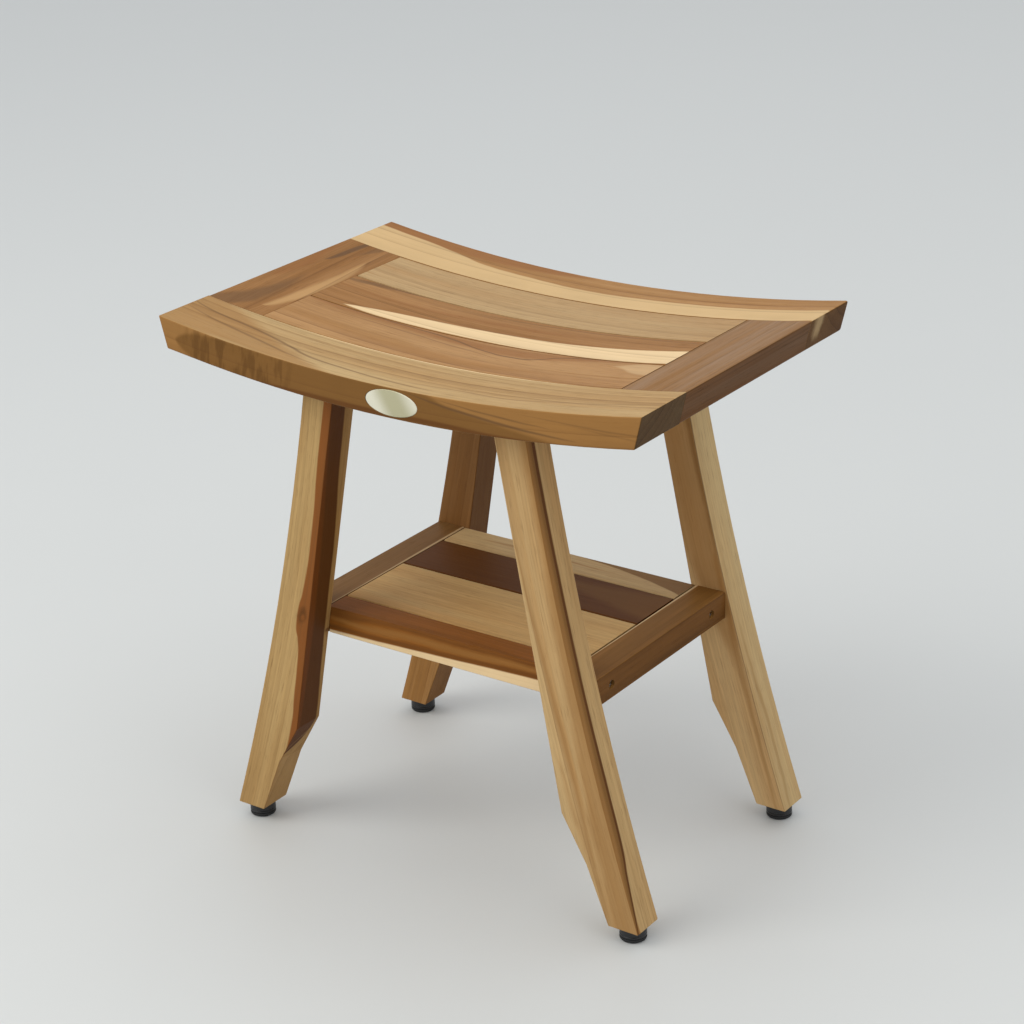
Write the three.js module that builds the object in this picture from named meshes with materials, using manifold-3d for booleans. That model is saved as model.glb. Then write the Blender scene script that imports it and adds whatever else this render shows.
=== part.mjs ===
// A slatted teak shower stool with a dished seat, four sabre legs, a low shelf and levelling feet.
// Millimetres, +Z up. X is the stool's width, -Y its front. The origin is on the floor under its centre.
import * as THREE from 'three';
import { mergeVertices } from 'three/addons/utils/BufferGeometryUtils.js';
import Module from 'manifold-3d';

// ---- Overall ----
const seatWidth = 457;
const seatDepth = 305;
const stoolHeight = 457; // to the raised ends of the seat
const fit = 0.3; // clearance between pieces that touch
const past = 1; // how far a cutting tool runs out past the face it opens

// ---- Seat: two full-length rails, two end rails between them, slats between those ----
const seatRise = 19; // how far the ends stand above the middle
const seatThickness = 25;
const endUndercut = 10.7; // how far the end faces run back toward their lower edge, along the arc
const railWidth = 60.4;
const endRailWidth = 57;
const slatNames = ['seat_slat_front', 'seat_slat_middle', 'seat_slat_back'];
const slatGap = 1.2;
const seatShoulderGap = 0.3; // between a slat's end and the end rail
const seatTongue = { length: 8, thickness: 8 };
const endTenon = { length: 15, width: 32, thickness: 9 };
const badge = { width: 49, height: 21, thickness: 1.2, offsetX: 4 };

// ---- Legs: outer edge bowed, inner edge straight down to a knee, then cut back to the foot ----
const footSpacingX = 381;
const footSpacingY = 231;
const legSetUnder = 1.4; // a leg top's inner face, in under the seat rail from its inner edge
const legThickness = 30; // in Y
const legTopX = 90.3; // centre of a leg top
const legTopWidth = 29.6; // in X
const kneeHeight = 101;
const kneeWidth = 43.5;
const calfHeight = 62;
const calfWidth = 32.5;
const legFootWidth = 28;
const legBow = 8; // how far the outer edge bows in from a straight line

// ---- Bearers under the seat ----
const bearerWidth = 26;
const bearerHeight = 24;
const bearerTenon = { length: 9, width: 14, height: 10 };
const dowel = { diameter: 10, inRail: 17, inLeg: 11 };
const dowelBridge = 3; // wood left between a dowel and the tenon below it
const slatScrew = { shank: 4.5, head: 9, headHeight: 3, length: 34, sunk: 7 };

// ---- Shelf ----
const shelfTop = 206;
const shelfRailHeight = 24;
const shelfEndRailWidth = 28.5;
const shelfRailInset = 4; // end rail's outer face, in from the legs' outer edge
const shelfBoardThickness = 16;
const shelfFrontRailWidth = 25;
const shelfFrontBoardWidth = 77;
const shelfBackRailWidth = 32;
const shelfBoardGap = 1;
const shelfShoulderGap = 1.2; // between a shelf board's end and the end rail
const shelfTongue = { length: 7, thickness: 7, belowTop: 4.5 };
const shelfBolt = { shank: 4, head: 8, headHeight: 3.5, pastNut: 4 };
const barrelNut = { diameter: 7, length: 14, fromRailEnd: 21.5, sunk: 2.5 };
const plug = { diameter: 10, thickness: 5 };

// ---- Feet: a stud turns in the leg's insert and is held, free to turn, in the base ----
const footHeight = 13; // floor to the leg's end, with the foot screwed right in
const footDiameter = 22;
const footEase = 2; // rounding of the pad's lower edge
const padThickness = 3.4;
const stud = { diameter: 8, head: 13, headHeight: 4.2, tip: 1 };
const insert = { diameter: 12, length: 20 };
const boreSpare = 4; // empty bore above the insert

// ---- Fineness of the round stretches ----
const seatSteps = 20;
const legSteps = 12;
const roundSteps = 20;

// ---- Looks ----
const wood = (color) => ({ color, roughness: 0.55, metalness: 0 });
const tan = wood(0xb0945f);
const brown = wood(0x9c7048);
const dark = wood(0x5a3e2a);
const pale = wood(0xd0b585);
const steel = { color: 0xb8b9ba, roughness: 0.35, metalness: 1 };
const brass = { color: 0xb59a5a, roughness: 0.4, metalness: 1 };
const nylon = { color: 0x151515, roughness: 0.5, metalness: 0 };
const rubber = { color: 0x0d0d0d, roughness: 0.8, metalness: 0 };
const enamel = { color: 0xd8d4c0, roughness: 0.35, metalness: 0 };

const wasm = await Module();
wasm.setup();
const stool = new THREE.Group();

function piece(name, geometry, look) {
  const mesh = new THREE.Mesh(geometry, new THREE.MeshStandardMaterial(look));
  mesh.name = name;
  stool.add(mesh);
}

// ---- Solids ----

// Shared vertices joined and collapsed triangles dropped, so that the mesh closes.
function closed(geometry) {
  const bare = geometry.clone();
  bare.deleteAttribute('normal');
  bare.deleteAttribute('uv');
  const merged = mergeVertices(bare, 1e-4);
  const index = Array.from(merged.index.array);
  const kept = [];
  for (let i = 0; i < index.length; i += 3) {
    const [a, b, c] = index.slice(i, i + 3);
    if (a !== b && b !== c && c !== a) kept.push(a, b, c);
  }
  merged.setIndex(kept);
  return merged;
}

function toManifold(geometry) {
  const mesh = closed(geometry);
  return new wasm.Manifold(new wasm.Mesh({
    numProp: 3,
    vertProperties: new Float32Array(mesh.attributes.position.array),
    triVerts: new Uint32Array(mesh.index.array),
  }));
}

function toGeometry(manifold) {
  const { vertProperties, triVerts } = manifold.getMesh();
  const geometry = new THREE.BufferGeometry();
  geometry.setAttribute('position', new THREE.BufferAttribute(new Float32Array(vertProperties), 3));
  geometry.setIndex(new THREE.BufferAttribute(new Uint32Array(triVerts), 1));
  return geometry;
}

function cut(geometry, ...tools) {
  let body = toManifold(geometry);
  for (const tool of tools) body = body.subtract(toManifold(tool));
  return toGeometry(body);
}

function join(geometry, ...others) {
  let body = toManifold(geometry);
  for (const other of others) body = body.add(toManifold(other));
  return toGeometry(body);
}

// An outline in X and Z, run along Y from y0 to y1.
function slab(outline, y0, y1) {
  const shape = Array.isArray(outline) ? new THREE.Shape(outline) : outline;
  const settings = { depth: y1 - y0, bevelEnabled: false, curveSegments: roundSteps };
  return new THREE.ExtrudeGeometry(shape, settings).rotateX(Math.PI / 2).translate(0, y1, 0);
}

// Two ends in rising order.
const span = (a, b) => [Math.min(a, b), Math.max(a, b)];

function box(x0, x1, y0, y1, z0, z1) {
  const geometry = new THREE.BoxGeometry(x1 - x0, y1 - y0, z1 - z0);
  return geometry.translate((x0 + x1) / 2, (y0 + y1) / 2, (z0 + z1) / 2);
}

// A solid turned about Z from [radius, height] pairs that run upward.
function turned(...profile) {
  const points = profile.map(([radius, height]) => new THREE.Vector2(radius, height));
  return closed(new THREE.LatheGeometry(points, roundSteps).rotateX(Math.PI / 2));
}

function rod(diameter, z0, z1) {
  return turned([0, z0], [diameter / 2, z0], [diameter / 2, z1], [0, z1]);
}

// Turns a solid about Z into one along X (side -1 or 1 is the way its top points), or along Y.
const alongX = (geometry, side) => geometry.rotateY(side * Math.PI / 2);
const alongY = (geometry, side) => geometry.rotateX(-side * Math.PI / 2);

// ---- Seat curve: an arc of a circle whose centre is above the stool ----
const seatRadius = ((seatWidth / 2) ** 2 + seatRise ** 2) / (2 * seatRise);
const seatCentreZ = stoolHeight - seatRise + seatRadius;

// The point at a reach from the middle, measured on the top face, and a depth below that face.
function seatPoint(reach, depth) {
  const angle = Math.asin(reach / seatRadius);
  const radius = seatRadius + depth;
  return new THREE.Vector2(radius * Math.sin(angle), seatCentreZ - radius * Math.cos(angle));
}

function seatArc(from, to, depth, steps = seatSteps) {
  const at = (i) => seatPoint(from + (to - from) * i / steps, depth);
  return Array.from({ length: steps + 1 }, (_, i) => at(i));
}

const undersideZ = (x) => seatCentreZ - Math.sqrt((seatRadius + seatThickness) ** 2 - x ** 2);

// ---- Leg curve ----
const legBottomZ = footHeight;
const legTopZ = undersideZ(legTopX) - fit;
const footX = footSpacingX / 2;
const footY = footSpacingY / 2;
const legReach = (z) => (legTopZ - z) / (legTopZ - legBottomZ);

function outerX(z) {
  const t = legReach(z);
  const straight = THREE.MathUtils.lerp(legTopX + legTopWidth / 2, footX + legFootWidth / 2, t);
  return straight - 4 * legBow * t * (1 - t);
}

function innerX(z) {
  const topX = legTopX - legTopWidth / 2;
  const t = (legTopZ - z) / (legTopZ - kneeHeight);
  return THREE.MathUtils.lerp(topX, outerX(kneeHeight) - kneeWidth, t);
}

const legMidX = (z) => (outerX(z) + innerX(z)) / 2;

// In Y, each leg runs straight from under its seat rail to its foot.
const railInnerY = seatDepth / 2 - railWidth;
const legTopY = railInnerY + legSetUnder + legThickness / 2;
const legY = (z) => THREE.MathUtils.lerp(legTopY, footY, legReach(z));
const legInnerFaceY = (z) => legY(z) - legThickness / 2;
const legOuterFaceY = (z) => legY(z) + legThickness / 2;

// Leans what stands at the foot's Y in step with a leg.
function splayed(geometry, sideY) {
  const slope = sideY * (legTopY - footY) / (legTopZ - legBottomZ);
  const lean = new THREE.Matrix4().makeShear(0, 0, 0, 0, 0, slope);
  return geometry.translate(0, 0, -legBottomZ).applyMatrix4(lean).translate(0, 0, legBottomZ);
}

// ---- Places that pieces share ----
const endRailInner = seatWidth / 2 - endRailWidth;
const slatWidth = (2 * railInnerY - (slatNames.length + 1) * slatGap) / slatNames.length;
const slatY = (i) => -railInnerY + slatGap + slatWidth / 2 + i * (slatWidth + slatGap);
const bearerZ = legTopZ - bearerHeight / 2;
const bearerX = legMidX(bearerZ);
const bearerBottomZ = undersideZ(bearerX) - fit - bearerHeight;
const bearerEndY = Math.min(legInnerFaceY(legTopZ), legInnerFaceY(bearerBottomZ)) - fit;
const dowelZ = undersideZ(legTopX);
const bearerTenonTopZ = dowelZ - dowel.inLeg - dowelBridge;
const shelfBoltZ = shelfTop - shelfRailHeight / 2;
const shelfOuterX = outerX(shelfBoltZ) - shelfRailInset;
const shelfInnerX = shelfOuterX - shelfEndRailWidth;
const shelfEndY = Math.min(legInnerFaceY(shelfTop), legInnerFaceY(shelfTop - shelfRailHeight)) - fit;
const shelfBoltX = legMidX(shelfBoltZ);
const barrelNutY = shelfEndY - barrelNut.fromRailEnd;
const boltHeadY = legOuterFaceY(shelfBoltZ) - plug.thickness - 2 * fit;
const boltTipY = barrelNutY - barrelNut.diameter / 2 - shelfBolt.pastNut;

const sidesX = [['left', -1], ['right', 1]];
const sidesY = [['front', -1], ['back', 1]];

// ---- Seat ----

// The end rails' tenon, or with a clearance the mortise it goes into.
function endTenonOutline(sideX, clearance) {
  const middle = (endRailInner + seatWidth / 2 - endUndercut / 2) / 2;
  const half = endTenon.width / 2 + clearance;
  const top = (seatThickness - endTenon.thickness) / 2 - clearance;
  const bottom = (seatThickness + endTenon.thickness) / 2 + clearance;
  const corner = (reach, depth) => seatPoint(sideX * (middle + reach), depth);
  return [corner(-half, top), corner(half, top), corner(half, bottom), corner(-half, bottom)];
}

// The dowel between a leg's top and the rail above it, or with a clearance its bore.
function dowelRod(sideX, sideY, clearance) {
  const body = rod(dowel.diameter + 2 * clearance, -dowel.inLeg - clearance, dowel.inRail + clearance);
  return body.translate(sideX * legTopX, sideY * legTopY, dowelZ);
}

function badgeSolid(clearance, faceY) {
  const shape = new THREE.Shape();
  const centre = seatPoint(badge.offsetX, seatThickness / 2);
  const across = badge.width / 2 + clearance;
  const up = badge.height / 2 + clearance;
  shape.absellipse(centre.x, centre.y, across, up, 0, 2 * Math.PI);
  return slab(shape, faceY, -seatDepth / 2 + badge.thickness + clearance);
}

function seatRail(nameY, sideY) {
  const halfBottom = seatWidth / 2 - endUndercut;
  const outline = [
    ...seatArc(-seatWidth / 2, seatWidth / 2, 0),
    ...seatArc(halfBottom, -halfBottom, seatThickness),
  ];
  const body = slab(outline, ...span(sideY * railInnerY, sideY * seatDepth / 2));
  const mortise = span(sideY * (railInnerY - past), sideY * (railInnerY + endTenon.length));
  const cuts = sidesX.flatMap(([, sideX]) => [
    slab(endTenonOutline(sideX, fit), ...mortise),
    dowelRod(sideX, sideY, fit),
  ]);
  if (sideY < 0) cuts.push(badgeSolid(fit, -seatDepth / 2 - past));
  piece(`seat_${nameY}_rail`, cut(body, ...cuts), brown);
}

function seatEndRail(nameX, sideX) {
  const middle = seatThickness / 2;
  const tongueHalf = seatTongue.thickness / 2 + fit;
  const grooveEnd = endRailInner + seatTongue.length - seatShoulderGap + fit;
  const outline = [
    ...seatArc(endRailInner, seatWidth / 2, 0, 5),
    ...seatArc(seatWidth / 2 - endUndercut, endRailInner, seatThickness, 5),
    seatPoint(endRailInner, middle + tongueHalf),
    seatPoint(grooveEnd, middle + tongueHalf),
    seatPoint(grooveEnd, middle - tongueHalf),
    seatPoint(endRailInner, middle - tongueHalf),
  ];
  outline.forEach((point) => { point.x *= sideX; });
  const end = railInnerY - fit;
  const tenonEnd = end + endTenon.length;
  const body = join(slab(outline, -end, end), slab(endTenonOutline(sideX, 0), -tenonEnd, tenonEnd));
  piece(`seat_${nameX}_end_rail`, body, sideX < 0 ? brown : dark);
}

function seatSlat(name, i) {
  const half = endRailInner - seatShoulderGap;
  const tip = half + seatTongue.length;
  const top = (seatThickness - seatTongue.thickness) / 2;
  const bottom = (seatThickness + seatTongue.thickness) / 2;
  const outline = [
    ...seatArc(-half, half, 0),
    seatPoint(half, top), seatPoint(tip, top), seatPoint(tip, bottom), seatPoint(half, bottom),
    ...seatArc(half, -half, seatThickness),
    seatPoint(-half, bottom), seatPoint(-tip, bottom), seatPoint(-tip, top), seatPoint(-half, top),
  ];
  const y = slatY(i);
  const screwTopZ = bearerBottomZ + slatScrew.sunk + slatScrew.length + fit;
  const pilots = sidesX.map(([, sideX]) => (
    rod(slatScrew.shank + 2 * fit, bearerBottomZ, screwTopZ).translate(sideX * bearerX, y, 0)));
  piece(name, cut(slab(outline, y - slatWidth / 2, y + slatWidth / 2), ...pilots), i === 2 ? tan : brown);
}

// ---- Bearers, with the screws that hold the slats ----
function bearer(nameX, sideX) {
  const inner = bearerX - bearerWidth / 2;
  const outer = bearerX + bearerWidth / 2;
  const top = [inner, bearerX, outer].map((x) => new THREE.Vector2(x, undersideZ(x) - fit));
  const bottom = [new THREE.Vector2(outer, bearerBottomZ), new THREE.Vector2(inner, bearerBottomZ)];
  const outline = [...top, ...bottom];
  outline.forEach((point) => { point.x *= sideX; });
  const x = sideX * bearerX;
  const half = bearerTenon.width / 2;
  const tenonEnd = bearerEndY + bearerTenon.length;
  const tenonBottomZ = bearerTenonTopZ - bearerTenon.height;
  const tenon = box(x - half, x + half, -tenonEnd, tenonEnd, tenonBottomZ, bearerTenonTopZ);
  const start = bearerBottomZ - past;
  const headEnd = bearerBottomZ + slatScrew.sunk + slatScrew.headHeight + fit;
  const holes = slatNames.flatMap((_, i) => [
    rod(slatScrew.shank + 2 * fit, start, start + 2 * bearerHeight).translate(x, slatY(i), 0),
    rod(slatScrew.head + 2 * fit, start, headEnd).translate(x, slatY(i), 0),
  ]);
  piece(`seat_bearer_${nameX}`, cut(join(slab(outline, -bearerEndY, bearerEndY), tenon), ...holes), brown);
}

function slatScrewPiece(nameX, sideX, i) {
  const headZ = bearerBottomZ + slatScrew.sunk;
  const neckZ = headZ + slatScrew.headHeight;
  const tipZ = headZ + slatScrew.length;
  const head = slatScrew.head / 2;
  const shank = slatScrew.shank / 2;
  const body = turned(
    [0, headZ], [head, headZ], [head, neckZ], [shank, neckZ], [shank, tipZ - shank], [0, tipZ],
  );
  const place = slatNames[i].replace('seat_slat_', '');
  piece(`slat_screw_${place}_${nameX}`, body.translate(sideX * bearerX, slatY(i), 0), steel);
}

// ---- Legs ----
function legOutline(sideX) {
  const topArc = [legTopX - legTopWidth / 2, legTopX, legTopX + legTopWidth / 2];
  const outline = topArc.map((x) => new THREE.Vector2(x, undersideZ(x) - fit));
  for (let i = 1; i < legSteps; i += 1) {
    const z = THREE.MathUtils.lerp(legTopZ, legBottomZ, i / legSteps);
    outline.push(new THREE.Vector2(outerX(z), z));
  }
  outline.push(new THREE.Vector2(footX + legFootWidth / 2, legBottomZ));
  outline.push(new THREE.Vector2(footX - legFootWidth / 2, legBottomZ));
  outline.push(new THREE.Vector2(outerX(calfHeight) - calfWidth, calfHeight));
  outline.push(new THREE.Vector2(innerX(kneeHeight), kneeHeight));
  outline.forEach((point) => { point.x *= sideX; });
  return outline;
}

function leg(nameX, sideX, nameY, sideY) {
  const y = sideY * footY;
  const half = legThickness / 2;
  const body = splayed(slab(legOutline(sideX), y - half, y + half), sideY);
  const footBore = rod(insert.diameter + 2 * fit, legBottomZ - past, legBottomZ + insert.length + boreSpare);
  const tenonHalf = bearerTenon.width / 2 + fit;
  const tenonEnd = bearerEndY + bearerTenon.length + fit;
  const tenonBottomZ = bearerTenonTopZ - bearerTenon.height - fit;
  const x = sideX * bearerX;
  const mortiseY = span(sideY * (bearerEndY - past), sideY * tenonEnd);
  const mortise = box(x - tenonHalf, x + tenonHalf, ...mortiseY, tenonBottomZ, bearerTenonTopZ + fit);
  const plugBore = plug.diameter / 2 + fit;
  const headEnd = boltHeadY - shelfBolt.headHeight - fit;
  const shankBore = shelfBolt.shank / 2 + fit;
  const start = shelfEndY - past;
  const end = boltHeadY + legThickness;
  const boltBore = alongY(turned(
    [0, start], [shankBore, start], [shankBore, headEnd], [plugBore, headEnd], [plugBore, end], [0, end],
  ), sideY);
  const drilled = cut(
    body,
    footBore.translate(sideX * footX, y, 0),
    boltBore.translate(sideX * shelfBoltX, 0, shelfBoltZ),
    dowelRod(sideX, sideY, fit),
    mortise,
  );
  piece(`leg_${nameY}_${nameX}`, drilled, sideX < 0 && sideY > 0 ? brown : tan);
}

function legDowel(nameX, sideX, nameY, sideY) {
  piece(`leg_dowel_${nameY}_${nameX}`, dowelRod(sideX, sideY, 0), pale);
}

// ---- Shelf ----
function shelfEndRail(nameX, sideX) {
  const tongueTop = shelfTop - shelfTongue.belowTop + fit;
  const tongueBottom = shelfTop - shelfTongue.belowTop - shelfTongue.thickness - fit;
  const grooveEnd = shelfInnerX + shelfTongue.length;
  const bottom = shelfTop - shelfRailHeight;
  const outline = [
    [shelfInnerX, shelfTop], [shelfOuterX, shelfTop], [shelfOuterX, bottom], [shelfInnerX, bottom],
    [shelfInnerX, tongueBottom], [grooveEnd, tongueBottom], [grooveEnd, tongueTop], [shelfInnerX, tongueTop],
  ].map(([x, z]) => new THREE.Vector2(sideX * x, z));
  const boltBore = rod(shelfBolt.shank + 2 * fit, boltTipY - fit, shelfEndY + past);
  const nutBoreEnd = shelfOuterX - barrelNut.sunk - barrelNut.length - fit;
  const nutBore = rod(barrelNut.diameter + 2 * fit, nutBoreEnd, shelfOuterX + past);
  const holes = sidesY.flatMap(([, sideY]) => [
    alongY(boltBore.clone(), sideY).translate(sideX * shelfBoltX, 0, shelfBoltZ),
    alongX(nutBore.clone(), sideX).translate(0, sideY * barrelNutY, shelfBoltZ),
  ]);
  const look = sideX < 0 ? brown : dark;
  piece(`shelf_${nameX}_end_rail`, cut(slab(outline, -shelfEndY, shelfEndY), ...holes), look);
}

function shelfBoard(name, y0, y1, thickness, look) {
  const half = shelfInnerX - shelfShoulderGap;
  const tip = half + shelfTongue.length;
  const tongueTop = shelfTop - shelfTongue.belowTop;
  const tongueBottom = tongueTop - shelfTongue.thickness;
  const bottom = shelfTop - thickness;
  const rightHalf = [
    [half, shelfTop], [half, tongueTop], [tip, tongueTop],
    [tip, tongueBottom], [half, tongueBottom], [half, bottom],
  ];
  const leftHalf = rightHalf.map(([x, z]) => [-x, z]).reverse();
  const outline = [...rightHalf, ...leftHalf].map(([x, z]) => new THREE.Vector2(x, z));
  piece(name, closed(slab(outline, y0, y1)), look);
}

function shelfBoards() {
  const frontRailEnd = -shelfEndY + shelfFrontRailWidth;
  const frontBoardEnd = frontRailEnd + shelfBoardGap + shelfFrontBoardWidth;
  const backRailStart = shelfEndY - shelfBackRailWidth;
  shelfBoard('shelf_front_rail', -shelfEndY, frontRailEnd, shelfRailHeight, brown);
  shelfBoard('shelf_front_board', frontRailEnd + shelfBoardGap, frontBoardEnd, shelfBoardThickness, tan);
  shelfBoard('shelf_back_board', frontBoardEnd + shelfBoardGap, backRailStart - shelfBoardGap,
    shelfBoardThickness, dark);
  shelfBoard('shelf_back_rail', backRailStart, shelfEndY, shelfRailHeight, pale);
}

function shelfFixing(nameX, sideX, nameY, sideY) {
  const place = `${nameY}_${nameX}`;
  const shank = shelfBolt.shank / 2;
  const head = shelfBolt.head / 2;
  const neckY = boltHeadY - shelfBolt.headHeight;
  const bolt = turned(
    [0, boltTipY], [shank, boltTipY], [shank, neckY], [head, neckY], [head, boltHeadY], [0, boltHeadY],
  );
  piece(`shelf_bolt_${place}`, alongY(bolt, sideY).translate(sideX * shelfBoltX, 0, shelfBoltZ), steel);

  const nutEnd = shelfOuterX - barrelNut.sunk;
  const nutBody = alongX(rod(barrelNut.diameter, nutEnd - barrelNut.length, nutEnd), sideX);
  const y = sideY * barrelNutY;
  const thread = alongY(rod(shelfBolt.shank + 2 * fit, -barrelNut.diameter, barrelNut.diameter), 1);
  const nut = cut(nutBody.translate(0, y, shelfBoltZ), thread.translate(sideX * shelfBoltX, y, shelfBoltZ));
  piece(`barrel_nut_${place}`, nut, steel);

  const face = footY + legThickness / 2;
  const plugBody = alongY(rod(plug.diameter, face - plug.thickness, face), sideY);
  piece(`bolt_plug_${place}`, splayed(plugBody.translate(sideX * shelfBoltX, 0, shelfBoltZ), sideY), tan);
}

// ---- Levelling feet ----
function foot(nameX, sideX, nameY, sideY) {
  const place = `${nameY}_${nameX}`;
  const x = sideX * footX;
  const y = sideY * footY;
  const radius = footDiameter / 2;
  const boreRadius = stud.diameter / 2 + fit;
  const cupRadius = stud.head / 2 + fit;
  const baseBottom = padThickness + fit;
  const baseTop = footHeight - fit;
  const headTop = baseBottom + stud.headHeight;
  const insertBottom = legBottomZ;
  const insertTop = insertBottom + insert.length;

  const arc = [0, 1, 2, 3].map((i) => i * Math.PI / 6);
  const rounding = arc.map((a) => [radius - footEase * (1 - Math.sin(a)), footEase * (1 - Math.cos(a))]);
  const pad = turned([0, 0], ...rounding, [radius, padThickness], [0, padThickness]);
  piece(`foot_pad_${place}`, pad.translate(x, y, 0), rubber);

  const base = turned(
    [cupRadius, baseBottom], [radius, baseBottom], [radius, baseTop], [boreRadius, baseTop],
    [boreRadius, headTop + fit], [cupRadius, headTop + fit], [cupRadius, baseBottom],
  );
  piece(`foot_base_${place}`, base.translate(x, y, 0), nylon);

  const shank = stud.diameter / 2;
  const head = stud.head / 2;
  const studBody = turned(
    [0, baseBottom], [head, baseBottom], [head, headTop], [shank, headTop],
    [shank, insertTop - stud.tip], [shank - stud.tip, insertTop], [0, insertTop],
  );
  piece(`foot_stud_${place}`, studBody.translate(x, y, 0), steel);

  const outer = insert.diameter / 2;
  const insertBody = turned([boreRadius, insertBottom], [outer, insertBottom], [outer, insertTop],
    [boreRadius, insertTop], [boreRadius, insertBottom]);
  piece(`foot_insert_${place}`, insertBody.translate(x, y, 0), brass);
}

// ---- Assembly ----
sidesY.forEach(([nameY, sideY]) => seatRail(nameY, sideY));
sidesX.forEach(([nameX, sideX]) => seatEndRail(nameX, sideX));
slatNames.forEach(seatSlat);
piece('badge', badgeSolid(0, -seatDepth / 2), enamel);
for (const [nameX, sideX] of sidesX) {
  bearer(nameX, sideX);
  slatNames.forEach((_, i) => slatScrewPiece(nameX, sideX, i));
  shelfEndRail(nameX, sideX);
  for (const [nameY, sideY] of sidesY) {
    leg(nameX, sideX, nameY, sideY);
    legDowel(nameX, sideX, nameY, sideY);
    shelfFixing(nameX, sideX, nameY, sideY);
    foot(nameX, sideX, nameY, sideY);
  }
}
shelfBoards();

export default stool;
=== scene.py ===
import math

import bpy
from bpy.props import FloatProperty, FloatVectorProperty, IntProperty, PointerProperty
from bpy.types import Operator, Panel, PropertyGroup
from mathutils import Matrix, Vector


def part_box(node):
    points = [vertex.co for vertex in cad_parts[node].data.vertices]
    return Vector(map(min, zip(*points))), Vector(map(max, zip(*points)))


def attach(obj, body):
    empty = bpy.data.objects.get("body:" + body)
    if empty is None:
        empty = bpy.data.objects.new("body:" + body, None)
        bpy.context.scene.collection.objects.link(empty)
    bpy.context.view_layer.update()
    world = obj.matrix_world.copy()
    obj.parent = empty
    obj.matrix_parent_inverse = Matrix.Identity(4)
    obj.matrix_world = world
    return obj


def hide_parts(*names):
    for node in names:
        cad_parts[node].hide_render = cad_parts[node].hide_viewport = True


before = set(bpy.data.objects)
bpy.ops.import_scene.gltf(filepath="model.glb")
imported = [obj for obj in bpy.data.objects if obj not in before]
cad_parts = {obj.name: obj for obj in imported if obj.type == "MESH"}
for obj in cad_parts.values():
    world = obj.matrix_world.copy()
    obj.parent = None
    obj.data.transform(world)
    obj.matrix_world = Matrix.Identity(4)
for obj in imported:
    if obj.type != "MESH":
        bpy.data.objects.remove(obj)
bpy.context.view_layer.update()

bl_info = {
    "name": "Teak Shower Stool",
    "version": (1, 0, 0),
    "blender": (4, 5, 0),
    "location": "View3D > Sidebar > Shower Stool",
    "description": "Finishes a dished teak shower stool with a shelf and levelling feet",
    "category": "Object",
}

MM = 0.001
SAME_PLACE = 1e-5  # metres within which two places are taken as one
LONG_EDGE = 0.1  # metres over which an edge runs along a bar
SIDES_X = (("left", -1), ("right", 1))
SIDES_Y = (("front", -1), ("back", 1))
SLATS = ("front", "middle", "back")


def tint(red, green, blue):
    """A screen colour, 0 to 255 a channel, as the linear colour that shaders take."""
    def linear(level):
        level /= 255
        return level / 12.92 if level <= 0.04045 else ((level + 0.055) / 1.055) ** 2.4
    return tuple(linear(level) for level in (red, green, blue))


def length_setting(name, description, millimetres, smallest=0.0):
    return FloatProperty(
        name=name, description=description, default=millimetres * MM,
        min=smallest * MM, precision=5, subtype="DISTANCE", unit="LENGTH",
    )


def colour_setting(name, description, red, green, blue):
    return FloatVectorProperty(
        name=name, description=description, default=tint(red, green, blue),
        size=3, min=0.0, max=1.0, subtype="COLOR",
    )


class StoolShape(PropertyGroup):
    seat_dip: length_setting("Seat dip", "How far the middle of the seat lies under its ends", 19)
    seat_thickness: length_setting("Seat thickness", "Thickness of the seat's timber", 25)
    leg_bow: length_setting("Leg bow", "How far a leg's outer edge bows in from straight", 8)
    leg_top_reach: length_setting("Leg top reach", "From the middle to a leg's outer edge at the top",
                                  105.1)
    leg_top_depth: length_setting("Leg top depth", "From the middle to a leg's outer face at the top",
                                  123.5)
    outer_edge: length_setting("Outer edge", "Rounding of the seat's outside edges", 2.2)
    strip_edge: length_setting("Strip edge", "Rounding of the edges where strips meet", 0.8)
    leg_edge: length_setting("Leg edge", "Rounding of a leg's long edges", 3.0)
    shelf_edge: length_setting("Shelf edge", "Rounding of the shelf's edges", 1.1)


class StoolTimber(PropertyGroup):
    sapwood: colour_setting("Sapwood", "Palest timber, from the outside of the log", 226, 196, 150)
    straw: colour_setting("Straw", "Pale heartwood", 204, 171, 122)
    honey: colour_setting("Honey", "Light heartwood", 190, 149, 98)
    tan: colour_setting("Tan", "Usual heartwood", 172, 129, 80)
    brown: colour_setting("Brown", "Dark heartwood", 150, 105, 54)
    walnut: colour_setting("Walnut", "Darker heartwood", 120, 83, 40)
    grey_brown: colour_setting("Grey brown", "Dark heartwood with little red in it", 158, 128, 100)
    umber: colour_setting("Umber", "Darkest plain heartwood", 98, 70, 44)
    russet: colour_setting("Russet", "Reddish heartwood", 130, 76, 32)
    chocolate: colour_setting("Chocolate", "Darkest reddish heartwood", 96, 58, 24)
    growth_line: colour_setting("Growth line", "Dark line at the end of each year's growth", 104, 68, 36)
    end_grain: FloatProperty(
        name="End grain", description="Brightness of end grain beside side grain",
        default=0.6, min=0.0, max=1.0, subtype="FACTOR",
    )
    sheen_roughness: FloatProperty(
        name="Roughness", description="Roughness of the oiled timber",
        default=0.52, min=0.0, max=1.0, subtype="FACTOR",
    )
    sheen: FloatProperty(
        name="Sheen", description="Strength of the reflection from the oiled timber",
        default=0.08, min=0.0, max=1.0, subtype="FACTOR",
    )


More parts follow.
